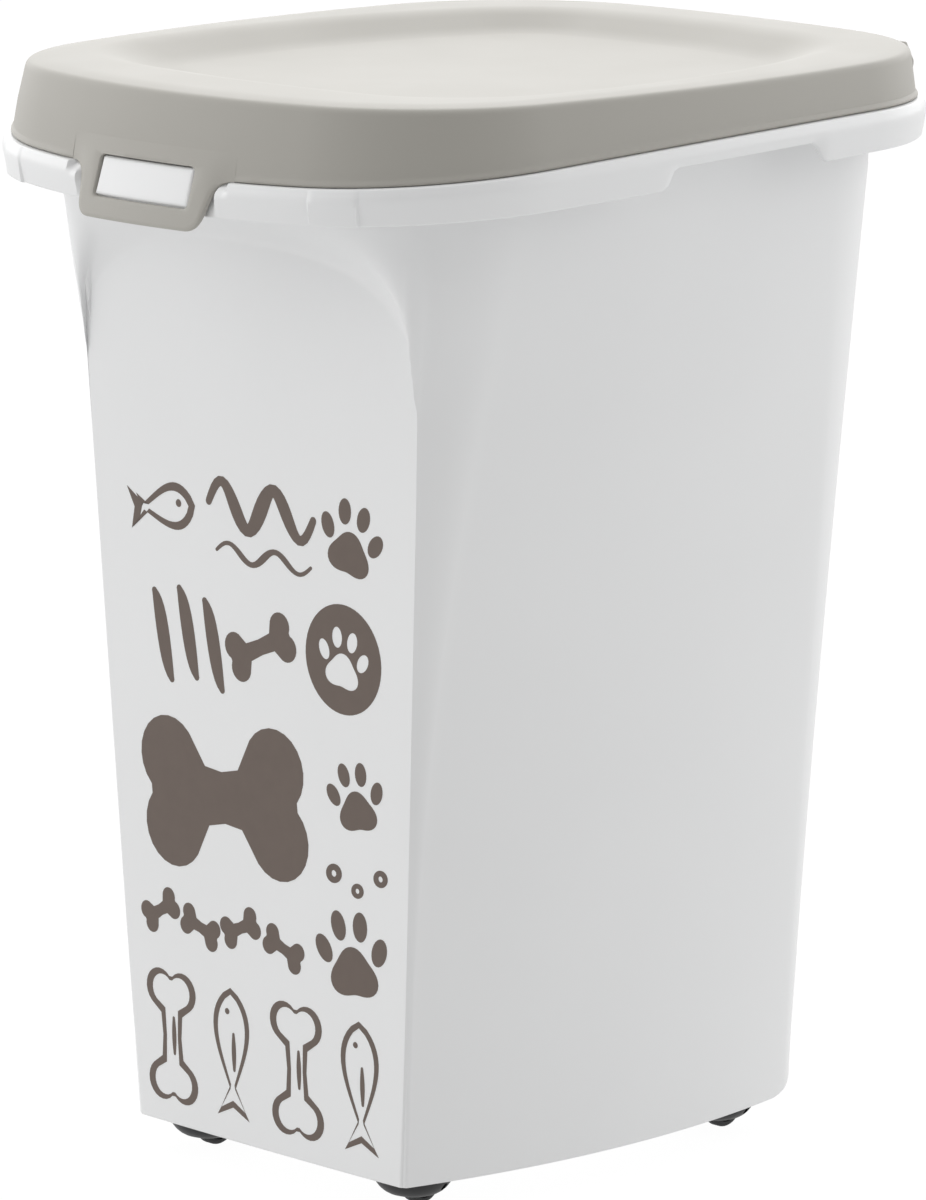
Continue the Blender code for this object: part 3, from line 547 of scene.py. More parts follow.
def band_foot():
    along = RIM[:, 1]
    grip = np.minimum(ease(*GRIP_SPAN[:2], along), 1 - ease(*GRIP_SPAN[2:], along))
    level = BAND_FOOT[0] + BAND_FOOT[1] * REAR_SHARE + BAND_FOOT[2] * REAR_SHARE ** 2
    return level + np.where(IN_FRONT, 0, GRIP_RISE * grip)


def rim_corners():
    """Corner rows from under the flange, round the band, over it and into the collar."""
    top = LID_EDGE - LID_GAP
    foot = band_foot()
    proud_top = band_offset(BAND_TOP_PROUD, 0, 0.4 * PAD_PROUD)
    proud_middle = band_offset(BAND_MIDDLE_PROUD, BAND_SHOULDER / (top - foot), PAD_PROUD)
    proud_foot = band_offset(BAND_FOOT_PROUD, 1, 2.4 * PAD_PROUD)
    return [
        (rim_row(-WALL_INSET, top - FLANGE), 3 * MM),
        (rim_row(proud_top - BAND_WALL, top - FLANGE), 1 * MM),
        (rim_row(proud_foot - BAND_WALL, foot), 0.5 * MM),
        (rim_row(proud_foot, foot), 1 * MM),
        (rim_row(proud_middle, top - BAND_SHOULDER), 2.5 * MM),
        (rim_row(proud_top, top - 0.5 * MM), 0.4 * MM),
        (rim_row(proud_top - 0.7 * MM, top), 0.4 * MM),
        (rim_row(-WALL_INSET, top), 0.8 * MM),
        (rim_row(-WALL_INSET, COLLAR_TOP), 0.8 * MM),
        (rim_row(-WALL_INSET - WALL, COLLAR_TOP), 0.8 * MM),
    ]


OUTER_LEVELS = [0.005, 0.015, 0.035, 0.07, 0.11, 0.15, 0.21, 0.28, 0.35, 0.42, 0.49, 0.56, 0.63,
                0.7, 0.76, 0.82, 0.87, 0.91, 0.94, 0.96, 0.975, 0.984, 0.989, 0.993, 0.9965, 1,
                1.004, 1.01, 1.02, 1.04, 1.07, 1.11, 1.16, 1.22, 1.29, 1.37, 1.46, 1.55, 1.64,
                1.73, 1.81, 1.88, 1.94, 2]
INNER_LEVELS = [2, 1.85, 1.7, 1.55, 1.4, 1.3, 1.2, 1.12, 1.06, 1.02, 1, 0.98, 0.9, 0.8, 0.7, 0.6,
                0.5, 0.4, 0.3, 0.2, 0.13]


def tub():
    foot = wall_grid([0, 1], 0)[0]
    under = wall_grid([0, 1], WALL)[0]
    climb = heel(foot)
    outer = wall_grid(OUTER_LEVELS, 0)
    settled = OUTER_LEVELS.index(0.15)
    for place in range(settled):
        share = outer[place][:, 2] / outer[settled][:, 2]
        outer[place][:, 2] += climb * (1 - share)
    inner = wall_grid(INNER_LEVELS[::-1], WALL)[::-1]
    corners = [(at_height(under, PLATE[0]), 0), (at_height(under, climb), 0.7 * MM),
               (at_height(foot, climb), 1 * MM)]
    corners += [(half_row, 0) for half_row in outer]
    corners += rim_corners()
    corners += [(half_row, 0) for half_row in inner]
    corners.append((at_height(inner[-1], PLATE[1]), 5 * MM))
    floor_edge = at_height(inner[-1] * (0.9, 0.9, 1), PLATE[1])
    corners.append((floor_edge, 0))
    item = skin("tub_shell", rounded(corners), "bin", TUB)
    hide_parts("bin_body")
    return item


# ---------------- lid

def lid():
    """Skirt, top and recess in one skin, with a notch in the skirt for the latch tongue."""
    tab = IN_FRONT & (ACROSS < TAB_HALF + TAB_PAIR / 2)
    foot = np.where(tab, TAB_TOP, LID_EDGE)
    inner_top = LID_TOP - LID_WALL
    floor_z = LID_TOP - RECESS_DEPTH
    bend = TAB_TOP + 4 * MM
    shoulder = LID_TOP - SHOULDER[0] + (SHOULDER[0] - SHOULDER[1]) * REAR_SHARE
    extra = SKIRT_LEAN[0] + (SKIRT_LEAN[1] - SKIRT_LEAN[0]) * REAR_SHARE - SKIRT_SLOPE

    def slope(height):
        return SKIRT_SLOPE * (LID_EDGE - height) - extra * np.maximum(height - bend, 0)

    lip = np.where(tab, 0.01, 1) * MM
    bead = np.where(IN_FRONT, BEAD * ease(TAB_HALF, TAB_HALF + 7 * MM, ACROSS), BEAD)
    corners = [
        (recess_row(-RECESS_RUN - 10 * MM, floor_z - LID_WALL), 0),
        (recess_row(-RECESS_RUN, floor_z - LID_WALL), 6 * MM),
        (recess_row(-1 * MM, inner_top), 5 * MM),
        (rim_row(PLUG[1], inner_top), 0.5 * MM),
        (rim_row(PLUG[1], PLUG_FOOT), 0.5 * MM),
        (rim_row(PLUG[0], PLUG_FOOT), 0.9 * MM),
        (rim_row(PLUG[0], inner_top), 0.5 * MM),
        (rim_row(slope(inner_top) - LID_WALL, inner_top), 3 * MM),
        (rim_row(slope(foot) - LID_WALL, foot), 0.6 * lip),
        (rim_row(slope(foot) + 0.4 * bead, foot), 0.7 * lip),
        (rim_row(slope(foot) + bead, foot + 0.9 * lip), 0.5 * lip),
        (rim_row(slope(foot + 2.6 * lip), foot + 2.6 * lip), 0.6 * lip),
        (rim_row(slope(bend), bend), 0),
        (rim_row(slope(shoulder), shoulder), 2.6 * MM),
        (rim_row(slope(shoulder) - SHOULDER_WIDTH, LID_TOP), 3.6 * MM),
        (recess_row(0, LID_TOP), 7 * MM),
        (recess_row(-RECESS_RUN, floor_z), 7 * MM),
        (recess_row(-RECESS_RUN - 10 * MM, floor_z), 0),
    ]
    item = skin("lid_shell", rounded(corners, steps=6), "lid", LID)
    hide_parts("lid")
    return item


def seal():
    low = COLLAR_TOP + CLEAR
    high = LID_TOP - LID_WALL - CLEAR
    corners = [(rim_row(offset, height), 1.4 * MM)
               for offset, height in ((SEAL[1], low), (SEAL[0], low), (SEAL[0], high), (SEAL[1], high))]
    item = skin("seal_ring", rounded(corners, closed=True), "lid", SEAL_RUBBER, closed=True)
    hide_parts("lid_seal")
    return item


# ---------------- latch tongue and catch

def on_front(across, height, depth):
    """A point of the front skirt's surface carried down to the loop; depth goes inwards."""
    ahead = math.sqrt(FRONT_RADIUS ** 2 - across ** 2)
    centre = RIM[0, 1] + FRONT_RADIUS
    share = (centre - ahead - RIM[0, 1]) / (RIM[-1, 1] - RIM[0, 1])
    level = float(1 - ease(LEAN_REACH, TAB_HALF, abs(across)))
    lean = TONGUE_LEAN * (TAB_TOP - height) * level
    offset = SKIRT_SLOPE * (edge_height(share) - height) + lean - depth
    ratio = (FRONT_RADIUS + offset) / FRONT_RADIUS
    return (across * ratio, centre - ahead * ratio, height + FLOOR_GAP)


def line(start, end, count):
    return [np.array(start) + (np.array(end) - start) * step / count for step in range(count)]


def curve(start, control, end, count):
    points = []
    for step in range(count):
        t = step / count
        points.append((1 - t) ** 2 * np.array(start) + 2 * t * (1 - t) * np.array(control)
                      + t ** 2 * np.array(end))
    return points


def mirrored(half):
    """A closed outline from its right half, whose two ends lie on the middle line."""
    return half + [point * (-1, 1) for point in half[1:-1][::-1]]


def tongue_outlines():
    """Outer edge and window of the tongue, as (across, height) points in matching order."""
    edge = edge_height(0.0106)
    shoulder = (TAB_HALF, edge)
    leg_top = (36.5 * MM, 394 * MM)
    leg_foot = (34.8 * MM, 388 * MM)
    heel_end = (27.5 * MM, TONGUE_FOOT)
    outer = line((0, TAB_TOP), (TAB_HALF, TAB_TOP), 14)
    outer += line((TAB_HALF, TAB_TOP), shoulder, 6)
    outer += curve(shoulder, (38.4 * MM, edge - 0.1 * MM), leg_top, 10)
    outer += line(leg_top, leg_foot, 4)
    outer += curve(leg_foot, (33.2 * MM, TONGUE_FOOT + 0.3 * MM), heel_end, 8)
    outer += line(heel_end, (0, TONGUE_FOOT), 14) + [np.array([0, TONGUE_FOOT])]
    low, high = WINDOW
    side = WINDOW_HALF
    inner = line((0, high), (side - 2.6 * MM, high), 14)
    inner += curve((side - 2.6 * MM, high), (side, high), (side, high - 2.6 * MM), 6)
    inner += line((side, high - 2.6 * MM), (side - 0.2 * MM, low + 6 * MM), 10)
    inner += line((side - 0.2 * MM, low + 6 * MM), (side - 0.4 * MM, low + 2.6 * MM), 4)
    inner += curve((side - 0.4 * MM, low + 2.6 * MM), (side - 0.5 * MM, low), (side - 3 * MM, low), 8)
    inner += line((side - 3 * MM, low), (0, low), 14) + [np.array([0, low])]
    return mirrored(outer), mirrored(inner)


def tongue():
    """The latch: a tab that bends from the skirt and frames the catch; free edges are rounded."""
    outer, inner = tongue_outlines()
    lip = TONGUE_ROUND
    lid_line = edge_height(0.0106) - 0.2 * MM
    rings = []
    across_web = [0, 0.3 * lip, lip]
    for edge_distance in across_web:
        rings.append([("outer", edge_distance, place) for place in range(len(outer))])
    for share in (0.25, 0.4, 0.55, 0.7):
        rings.append([("web", share, place) for place in range(len(outer))])
    for edge_distance in reversed(across_web):
        rings.append([("inner", edge_distance, place) for place in range(len(outer))])

    def rounding(distance):
        short = max(lip - distance, 0)
        return lip - math.sqrt(lip ** 2 - short ** 2)

    def point(kind, amount, place, back=False):
        start, end = outer[place], inner[place]
        length = np.linalg.norm(end - start)
        share = {"outer": amount / length, "inner": 1 - amount / length, "web": amount}[kind]
        across, height = start + (end - start) * share
        free = kind == "inner" or (kind == "outer" and start[1] < lid_line)
        depth = rounding(amount) if free and kind != "web" else 0.0
        if back:
            depth = LID_WALL - 0.5 * depth
        return on_front(across, height, depth)

    loops = [[point(*key, back=True) for key in ring] for ring in rings]
    loops += [[point(*key) for key in ring] for ring in reversed(rings)]
    points = [corner for loop in loops for corner in loop]
    faces = bands(len(loops), len(outer), closed=True)
    item = piece("latch_tongue", points, faces, None, LID)
    turn_outwards(item)
    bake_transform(item)
    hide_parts("latch_loop")
    return item


def turn_outwards(item, apart=0.0):
    """Joins points that are closer than apart and makes every face of a closed mesh point out."""
    data = bmesh.new()
    data.from_mesh(item.data)
    if apart:
        bmesh.ops.remove_doubles(data, verts=data.verts, dist=apart)
    bmesh.ops.recalc_face_normals(data, faces=data.faces)
    data.to_mesh(item.data)
    data.free()
    item.data.update()


def border_steps(low, high, count):
    """Even stations between two borders, with close ones where the borders are rounded."""
    near = [0, 0.15 * MM, 0.45 * MM, 0.9 * MM, 1.5 * MM]
    middle = list(np.linspace(low + 2.6 * MM, high - 2.6 * MM, count))
    return [low + step for step in near] + middle + [high - step for step in reversed(near)]


def catch():
    """The raised pad that the loop closes round, with rounded borders."""
    across_stops = border_steps(-CATCH_HALF, CATCH_HALF, 16)
    height_stops = border_steps(CATCH[0], CATCH[1], 5)
    radius = CATCH_ROUND
    columns = len(across_stops)
    front, back = [], []
    for height in height_stops:
        for across in across_stops:
            inset = min(CATCH_HALF - abs(across), height - CATCH[0], CATCH[1] - height)
            short = max(radius - inset, 0)
            fall = radius - math.sqrt(max(radius ** 2 - short ** 2, 0))
            front.append(on_front(across, height, CATCH_DEPTH + fall))
            back.append(on_front(across, height, CATCH_BACK))
    grid = len(front)
    faces = []
    for low in range(len(height_stops) - 1):
        for step in range(columns - 1):
            a = low * columns + step
            quad = (a, a + 1, a + 1 + columns, a + columns)
            faces.append(quad)
            faces.append(tuple(grid + corner for corner in reversed(quad)))
    border = list(range(columns))
    border += [columns * step + columns - 1 for step in range(1, len(height_stops))]
    border += list(reversed(range(grid - columns, grid - 1)))
    border += [columns * step for step in reversed(range(1, len(height_stops) - 1))]
    for place, corner in enumerate(border):
        ahead = border[(place + 1) % len(border)]
        faces.append((ahead, corner, grid + corner, grid + ahead))
    item = piece("catch_pad", front + back, faces, "bin", TUB)
    turn_outwards(item)
    return item


# ---------------- turned and plate pieces

def lathe(name, profile, steps, place, body, material, lie=False):
    """A solid turned from (radius, along) points, standing up or lying along X."""
    points, faces, rings = [], [], []
    for radius, along in profile:
        count = 1 if radius == 0 else steps
        rings.append(range(len(points), len(points) + count))
        for step in range(count):
            angle = 2 * math.pi * step / steps
            spun = (radius * math.cos(angle), radius * math.sin(angle), along)
            points.append(Vector(spun if not lie else (spun[2], spun[0], spun[1])) + Vector(place))
    for low, high in zip(rings, rings[1:]):
        for step in range(steps):
            ahead = (step + 1) % steps
            quad = [low[step % len(low)], low[ahead % len(low)],
                    high[ahead % len(high)], high[step % len(high)]]
            faces.append(tuple(dict.fromkeys(quad)))
    for ring in (rings[0], rings[-1]):
        if len(ring) > 1 and profile[0] != profile[-1]:
            faces.append(tuple(ring))
    item = piece(name, points, faces, body, material)
    turn_outwards(item, SEAM if profile[0] == profile[-1] else 0.0)
    return item


def finished(item, cutters=(), bevel=0.0, segments=3):
    """Cuts the item with each cutter, rounds its edges and keeps the result as its mesh."""
    for cutter in cutters:
        step = item.modifiers.new("cut", "BOOLEAN")
        step.operation = "DIFFERENCE"
        step.solver = "EXACT"
        step.object = cutter
    if bevel:
        step = item.modifiers.new("edge", "BEVEL")
        step.width = bevel
        step.segments = segments
        step.limit_method = "ANGLE"
        step.angle_limit = math.radians(40)
    bpy.context.view_layer.update()
    graph = bpy.context.evaluated_depsgraph_get()
    mesh = bpy.data.meshes.new_from_object(item.evaluated_get(graph))
    item.modifiers.clear()
    item.data = mesh
    smooth(mesh)
    for cutter in cutters:
        bpy.data.objects.remove(cutter)
    return item


def plate(name, outline, span, body, material):
    """A plate with a (y, z) outline between two x positions."""
    points = [(x, y, z) for x in span for y, z in outline]
    count = len(outline)
    faces = [tuple(range(count)), tuple(reversed(range(count, 2 * count)))]
    for step in range(count):
        ahead = (step + 1) % count
        faces.append((step, count + step, count + ahead, ahead))
    item = piece(name, points, faces, body, material)
    turn_outwards(item)
    return item


def knuckle_arc(start, end):
    arc = []
    for degrees in range(start, end + 1, 10):
        angle = math.radians(degrees)
        arc.append((HINGE.y + KNUCKLE_RADIUS * math.cos(angle), HINGE.z + KNUCKLE_RADIUS * math.sin(angle)))
    return arc


def hinges():
    """Lugs on the bin, ears on the lid and a headed pin on each side."""
    lug_foot = sum(BAND_FOOT) + FLOOR_GAP + 2 * MM
    shelf = LID_EDGE[-1] - LID_GAP - 1.2 * MM + FLOOR_GAP
    neck = HINGE.y - LUG_NECK
    waist = HINGE.z - LUG_WAIST
    root = HINGE.y - LUG_ROOT
    lug = [(HINGE.y + KNUCKLE_RADIUS, waist)] + knuckle_arc(0, 180)
    lug += [(neck, waist), (neck, shelf), (root, shelf), (root, lug_foot), (HINGE.y - 1 * MM, lug_foot)]
    top = LID_TOP + FLOOR_GAP
    ear = knuckle_arc(-90, 10)
    ear += [(HINGE.y + along, top + drop) for along, drop in EAR_TOP]
    ear.append((HINGE.y - EAR_ROOT, HINGE.z - KNUCKLE_RADIUS))
    for side, sign in (("left", -1), ("right", 1)):
        for kind, outline, span, body, slot, material in (
                ("lug", lug, LUG_SPAN, "bin", "tub", TUB), ("ear", ear, EAR_SPAN, "lid", "lid", LID)):
            ends = sorted(sign * x for x in span)
            item = plate(f"hinge_{kind}_{side}", outline, ends, body, material)
            middle = sum(ends) / 2
            bore = PIN_RADIUS + CLEAR
            cutter = lathe(f"bore_{kind}_{side}", [(bore, -20 * MM), (bore, 20 * MM)], 40,
                           (middle, HINGE.y, HINGE.z), None, material, lie=True)
            finished(item, [cutter], 0.6 * MM)
        pin(side, sign)


def pin(side, sign):
    """A steel pin with a domed head outside and a chamfered end inside."""
    near = min(abs(corner.x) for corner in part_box("hinge_pin_" + side))
    head, dome = PIN_HEAD
    shoulder = EAR_SPAN[1] + CLEAR
    profile = [(0, near), (PIN_RADIUS - 0.5 * MM, near), (PIN_RADIUS, near + 0.5 * MM),
               (PIN_RADIUS, shoulder), (head, shoulder)]
    for degrees in range(15, 90, 15):
        angle = math.radians(degrees)
        profile.append((head * math.cos(angle), shoulder + dome * math.sin(angle)))
    profile.append((0, shoulder + dome))
    profile = [(radius, sign * along) for radius, along in profile]
    item = lathe("hinge_pin_steel_" + side, profile, 40, (0, HINGE.y, HINGE.z),
                 "bin", STEEL, lie=True)
    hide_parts("hinge_pin_" + side)


# ---------------- castors

def castor(name):
    """A domed cup with a wheel slot, its stem in a boss, an axle and a grooved wheel."""
    low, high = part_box(f"castor_{name}_cup")
    x, y, _ = JOINTS[f"castor_{name}_swivel"]["pos_m"]
    body = "castor_" + name
    radius = (high.x - low.x) / 2
    profile = [(0, low.z), (CUP_MOUTH, low.z)]
    rise = high.z - 4 * MM - low.z
    for degrees in range(10, 91, 10):
        angle = math.radians(degrees)
        profile.append((CUP_MOUTH + (radius - CUP_MOUTH) * math.sin(angle),
                        low.z + rise * (1 - math.cos(angle))))
    profile += [(radius, high.z - 1.6 * MM), (radius - 0.5 * MM, high.z - 0.5 * MM),
                (radius - 1.8 * MM, high.z), (0, high.z)]
    cup = lathe(f"castor_{name}_dome", profile, 72, (x, y, 0), body, CASTOR_NYLON)
    wheel_low, wheel_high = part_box(f"castor_{name}_wheel")
    centre = (wheel_low + wheel_high) / 2
    wheel_radius = (wheel_high.z - wheel_low.z) / 2
    beside, above = WHEEL_ROOM
    ahead, top = wheel_radius + above, wheel_high.z + above
    slot = plate("slot_" + name, [(centre.y - ahead, -1 * MM), (centre.y + ahead, -1 * MM),
                                  (centre.y + ahead, top), (centre.y - ahead, top)],
                 (wheel_low.x - beside, wheel_high.x + beside), None, CASTOR_NYLON)
    axle_low, axle_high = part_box(f"castor_{name}_axle")
    axle_radius = (axle_high.z - axle_low.z) / 2
    bore = lathe("bore_" + name, [(axle_radius + CLEAR, -radius), (axle_radius + CLEAR, radius)], 32,
                 (x, centre.y, centre.z), None, CASTOR_NYLON, lie=True)
    finished(cup, [slot, bore], 0.35 * MM, 2)
    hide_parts(f"castor_{name}_cup")
    castor_wheel(name, centre, wheel_radius, (wheel_high.x - wheel_low.x) / 2, axle_radius)
    half = (axle_high.x - axle_low.x) / 2
    chamfer = 0.3 * MM
    axle = lathe(f"castor_{name}_axle_steel",
                 [(0, -half), (axle_radius - chamfer, -half), (axle_radius, chamfer - half),
                  (axle_radius, half - chamfer), (axle_radius - chamfer, half), (0, half)],
                 32, centre, body, STEEL, lie=True)
    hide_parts(f"castor_{name}_axle")
    stem(name, x, y, body)
    boss(name, x, y)


def castor_wheel(name, centre, radius, half, axle_radius):
    """A nylon wheel with two shallow grooves in its tread and a recessed face."""
    bore = axle_radius + CLEAR
    hub = bore + 1.6 * MM
    lip = radius - 2.2 * MM
    edge = [(bore, half), (hub, half), (hub + 0.4 * MM, half - 0.8 * MM),
            (lip - 0.4 * MM, half - 0.8 * MM), (lip, half), (radius - 1.3 * MM, half),
            (radius - 0.5 * MM, half - 0.4 * MM), (radius - 0.1 * MM, half - 1.1 * MM),
            (radius, half - 1.6 * MM), (radius - 0.4 * MM, half - 1.9 * MM),
            (radius - 0.4 * MM, half - 2.2 * MM), (radius, half - 2.5 * MM)]
    profile = edge + [(r, -along) for r, along in reversed(edge)] + [edge[0]]
    item = lathe(f"castor_{name}_tyre", profile, 72, centre, "wheel_" + name, TREAD, lie=True)
    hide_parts(f"castor_{name}_wheel")


def stem(name, x, y, body):
    low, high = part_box(f"castor_{name}_stem")
    flange = (high.x - low.x) / 2
    radius, neck = STEM_RADIUS, STEM_RADIUS - 0.5 * MM
    top = low.z + FLANGE_HEIGHT
    soft = 0.4 * MM
    profile = [(0, low.z), (flange - soft, low.z), (flange, low.z + soft), (flange, top - soft),
               (flange - soft, top), (radius, top), (radius, high.z - 5 * MM),
               (neck, high.z - 4.5 * MM), (neck, high.z - 3.5 * MM),
               (radius, high.z - 3 * MM), (radius - 1 * MM, high.z), (0, high.z)]
    item = lathe(f"castor_{name}_stem_steel", profile, 48, (x, y, 0), body, STEEL)
    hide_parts(f"castor_{name}_stem")


def boss(name, x, y):
    """The socket under and inside the tub's floor that takes the castor's stem."""
    outer, inner = SOCKET_RADII
    foot, top = SOCKET
    soft = 1.4 * MM
    profile = [(inner, foot), (outer - 0.5 * MM, foot), (outer, foot + 0.5 * MM), (outer, top - soft)]
    for degrees in (30, 60, 90):
        angle = math.radians(degrees)
        profile.append((outer - soft * (1 - math.cos(angle)), top - soft * (1 - math.sin(angle))))
    profile += [(0, top), (0, top - 3 * MM), (inner, top - 3 * MM), (inner, foot)]
    lathe(f"castor_{name}_socket", profile, 56, (x, y, 0), "bin", TUB)


# ---------------- printed decoration

def circle(x, z, width, height=None, turn=0.0, count=28):
    """A circle, or an ellipse that is turned by an angle in degrees."""
    height = width if height is None else height
    points = []
    for step in range(count):
        angle = 2 * math.pi * step / count
        points.append((width / 2 * math.cos(angle), height / 2 * math.sin(angle)))
    return placed(points, x, z, 1, turn)


def placed(points, x, z, size, turn):
    """Scales, turns and moves an outline."""
    spin = math.radians(turn)
    cos, sin = math.cos(spin) * size, math.sin(spin) * size
    return [(x + u * cos - v * sin, z + u * sin + v * cos) for u, v in points]


def paw(x, z, size, turn=0.0):
    """Four toes over a three-lobed pad, one unit wide."""
    pad = []
    for step in range(44):
        angle = 2 * math.pi * step / 44
        reach = 0.25 + 0.035 * math.cos(3 * angle + math.pi / 2) + 0.02 * math.cos(2 * angle)
        pad.append((reach * math.cos(angle) * 1.12, -0.2 + reach * math.sin(angle)))
    toes = [(-0.37, 0.03, 28), (-0.145, 0.26, 8), (0.145, 0.26, -8), (0.37, 0.03, -28)]
    shapes = [placed(pad, x, z, size, turn)]
    for across, up, lean in toes:
        shapes.append(placed(circle(across, up, 0.19, 0.29, lean, 22), x, z, size, turn))
    return shapes


def bone_outline(length, waist, knob):
    """A bone along X: a narrow waist between two pairs of knobs."""
    points = []
    half = length / 2 - knob
    spread = knob * 0.82
    for sign_x, first in ((1, -1), (-1, 1)):
        for sign_z in (first, -first):
            centre = (sign_x * half, sign_z * spread)
            start = {(1, -1): -140, (1, 1): -45, (-1, 1): 40, (-1, -1): 135}[(sign_x, sign_z)]
            for step in range(13):
                angle = math.radians(start + 185 * step / 12)
                points.append((centre[0] + knob * math.cos(angle), centre[1] + knob * math.sin(angle)))
            if sign_z == -first:
                points.append((sign_x * (half - knob * 1.25), sign_z * waist / 2 * 1.15))
                points.append((0, sign_z * waist / 2))
                points.append((-sign_x * (half - knob * 1.25), sign_z * waist / 2 * 1.15))
    return points


def fish_outline(length, depth):
    """A fish along X, nose at +X: a lens of a body and a forked tail."""
    points = []
    nose, tail = length / 2, -length * 0.28
    for step in range(17):
        t = step / 16
        x = nose + (tail - nose) * t
        points.append((x, depth / 2 * math.sin(math.pi * t ** 0.72) * (1 - 0.12 * t) + 0.07 * depth * t))
    points += [(-length * 0.5, depth * 0.45), (-length * 0.42, 0), (-length * 0.5, -depth * 0.45)]
    points += [(x, -z) for x, z in reversed(points[:17])][:-1]
    return points


def stroke(path, widths):
    """A brush stroke along a path, with one width for each point and round ends."""
    path = [np.array(point) for point in path]
    left, right = [], []
    for place, point in enumerate(path):
        ahead = path[min(place + 1, len(path) - 1)] - path[max(place - 1, 0)]
        side = np.array([-ahead[1], ahead[0]]) / np.linalg.norm(ahead)
        left.append(point + side * widths[place] / 2)
        right.append(point - side * widths[place] / 2)
    ends = [[placed([side - point], *point, 1, -degrees)[0] for degrees in range(30, 151, 30)]
            for point, side in ((path[-1], left[-1]), (path[0], right[0]))]
    return left + ends[0] + right[::-1] + ends[1]


def wave_stroke(x_start, x_end, z, swing, turns, width):
    """A wavy brush stroke that swells in its middle."""
    count = 18 * turns
    path, widths = [], []
    for step in range(count + 1):
        t = step / count
        path.append((x_start + (x_end - x_start) * t, z + swing * math.sin(2 * math.pi * turns * t)))
        swell = math.sin(math.pi * t) * (0.75 + 0.25 * math.cos(4 * math.pi * turns * t))
        widths.append(width * (0.45 + 0.55 * swell))
    return stroke(path, widths)


def print_shapes():
    """The decoration, in millimetres on the panel: lists of outlines, the first one filled."""
    shapes = []

    def solid(*outlines):
        shapes.extend([outline] for outline in outlines)

    # Top row: a small fish, a flourish and a paw
    fish = placed(fish_outline(40, 19), -52, 256, 1, 8)
    fish_hole = placed(fish_outline(31, 12.5), -51.4, 256, 1, 8)
    shapes.append([fish, fish_hole])
    solid(circle(-42, 258.6, 3.2, count=14))
    solid(wave_stroke(-24, 36, 262, 9, 2, 7.5))
    solid(wave_stroke(-20, 34, 243, 3.5, 2, 3.2))
    solid(*paw(57, 258, 36, -12))
    # Second row: a flourish of short strokes and a disc with a paw left open in it
    for place, x in enumerate((-58, -43, -28)):
        top = 221 + 3 * (place % 2)
        path = [(x + 9 * t, top - 34 * t + 3 * math.sin(6 * t)) for t in np.linspace(0, 1, 12)]
        solid(stroke(path, [3 + 4.4 * math.sin(math.pi * t) for t in np.linspace(0, 1, 12)]))
    solid(placed(bone_outline(40, 6.4, 5.6), 4, 207, 1, 24))
    shapes.append([circle(51, 209, 42, 44, 0, 56)] + paw(51, 209.5, 29, -8))
    # Third row: one large bone and a column of kibble
    solid(placed(bone_outline(96, 21, 17), -20, 142, 1, 4))
    solid(*paw(56, 155, 33, 10))
    for x, z, size in ((43, 122, 9), (56, 117, 7), (69, 124, 8)):
        shapes.append([circle(x, z, size, size * 0.86, 20, 24), circle(x, z, size * 0.3, size * 0.3, 0, 12)])
    # Fourth row: a string of small bones, then a paw
    for x, z, turn in ((-60, 89, 30), (-36, 86, -18), (-12, 90, 24), (13, 86, -22)):
        solid(placed(bone_outline(23, 4.6, 3.7), x, z, 1, turn))
    solid(*paw(52, 91, 42, 6))
    # Bottom row: tall outlined fish and bones, each with a shorter stroke beside it
    for place, x in enumerate((-55, -19, 19, 55)):
        if place % 2:
            outline = placed(fish_outline(54, 21), x, 37, 1, 90)
            inner = placed(fish_outline(48, 16), x, 37.3, 1, 90)
            solid(circle(x - 2.2, 54, 2.6, count=12))
        else:
            outline = placed(bone_outline(55, 11, 8.2), x, 37, 1, 90)
            inner = placed(bone_outline(50.6, 6.8, 6.2), x, 37, 1, 90)
        shapes.append([outline, inner])
        path = [(x + 1.2, 30 + 15 * t) for t in np.linspace(0, 1, 8)]
        solid(stroke(path, [1.3 + 1.2 * math.sin(math.pi * t) for t in np.linspace(0, 1, 8)]))
    return shapes


def on_panel(x, z, proud):
    """A point of the flat front panel, with the panel's slight bow and lean."""
    fraction = x / (PANEL_HALF + PANEL_SPREAD * z)
    depth = PANEL_DEPTH + PANEL_LEAN * z + PANEL_BOW * (1 - fraction ** 2)
    return Vector((x, -depth - proud, z + FLOOR_GAP))


def decoration():
    """The printed shapes as thin raised ink that follows the panel."""
    ink_height = 0.1 * MM
    data = bmesh.new()
    for outlines in print_shapes():
        flat = [[Vector((x * MM, z * MM, 0)) for x, z in outline] for outline in outlines]
        corners = [data.verts.new(point) for outline in flat for point in outline]
        for triangle in tessellate_polygon(flat):
            data.faces.new([corners[corner] for corner in triangle])
    for _ in range(3):
        long_edges = [edge for edge in data.edges if edge.calc_length() > 9 * MM]
        if long_edges:
            bmesh.ops.subdivide_edges(data, edges=long_edges, cuts=1)
    bmesh.ops.triangulate(data, faces=data.faces)
    for corner in data.verts:
        corner.co = on_panel(corner.co.x, corner.co.y, ink_height)
    made = bmesh.ops.extrude_face_region(data, geom=list(data.faces))
    for part in made["geom"]:
        if isinstance(part, bmesh.types.BMVert):
            part.co.y += 3 * ink_height
    bmesh.ops.recalc_face_normals(data, faces=data.faces)
    mesh = bpy.data.meshes.new("front_print")
    data.to_mesh(mesh)
    data.free()
    dressed(mesh, "front_print", "bin", INK)


# ---------------- stage

LENS = 216.64
LENS_SHIFT = 0.00105
AIM = Vector((-0.00075, -0.00084, 0.22296))
DISTANCE = 2.91895
FLOOR_GLOW = 0.57
FLOOR_REACH = 30
PAPER_WHITE = 1.08

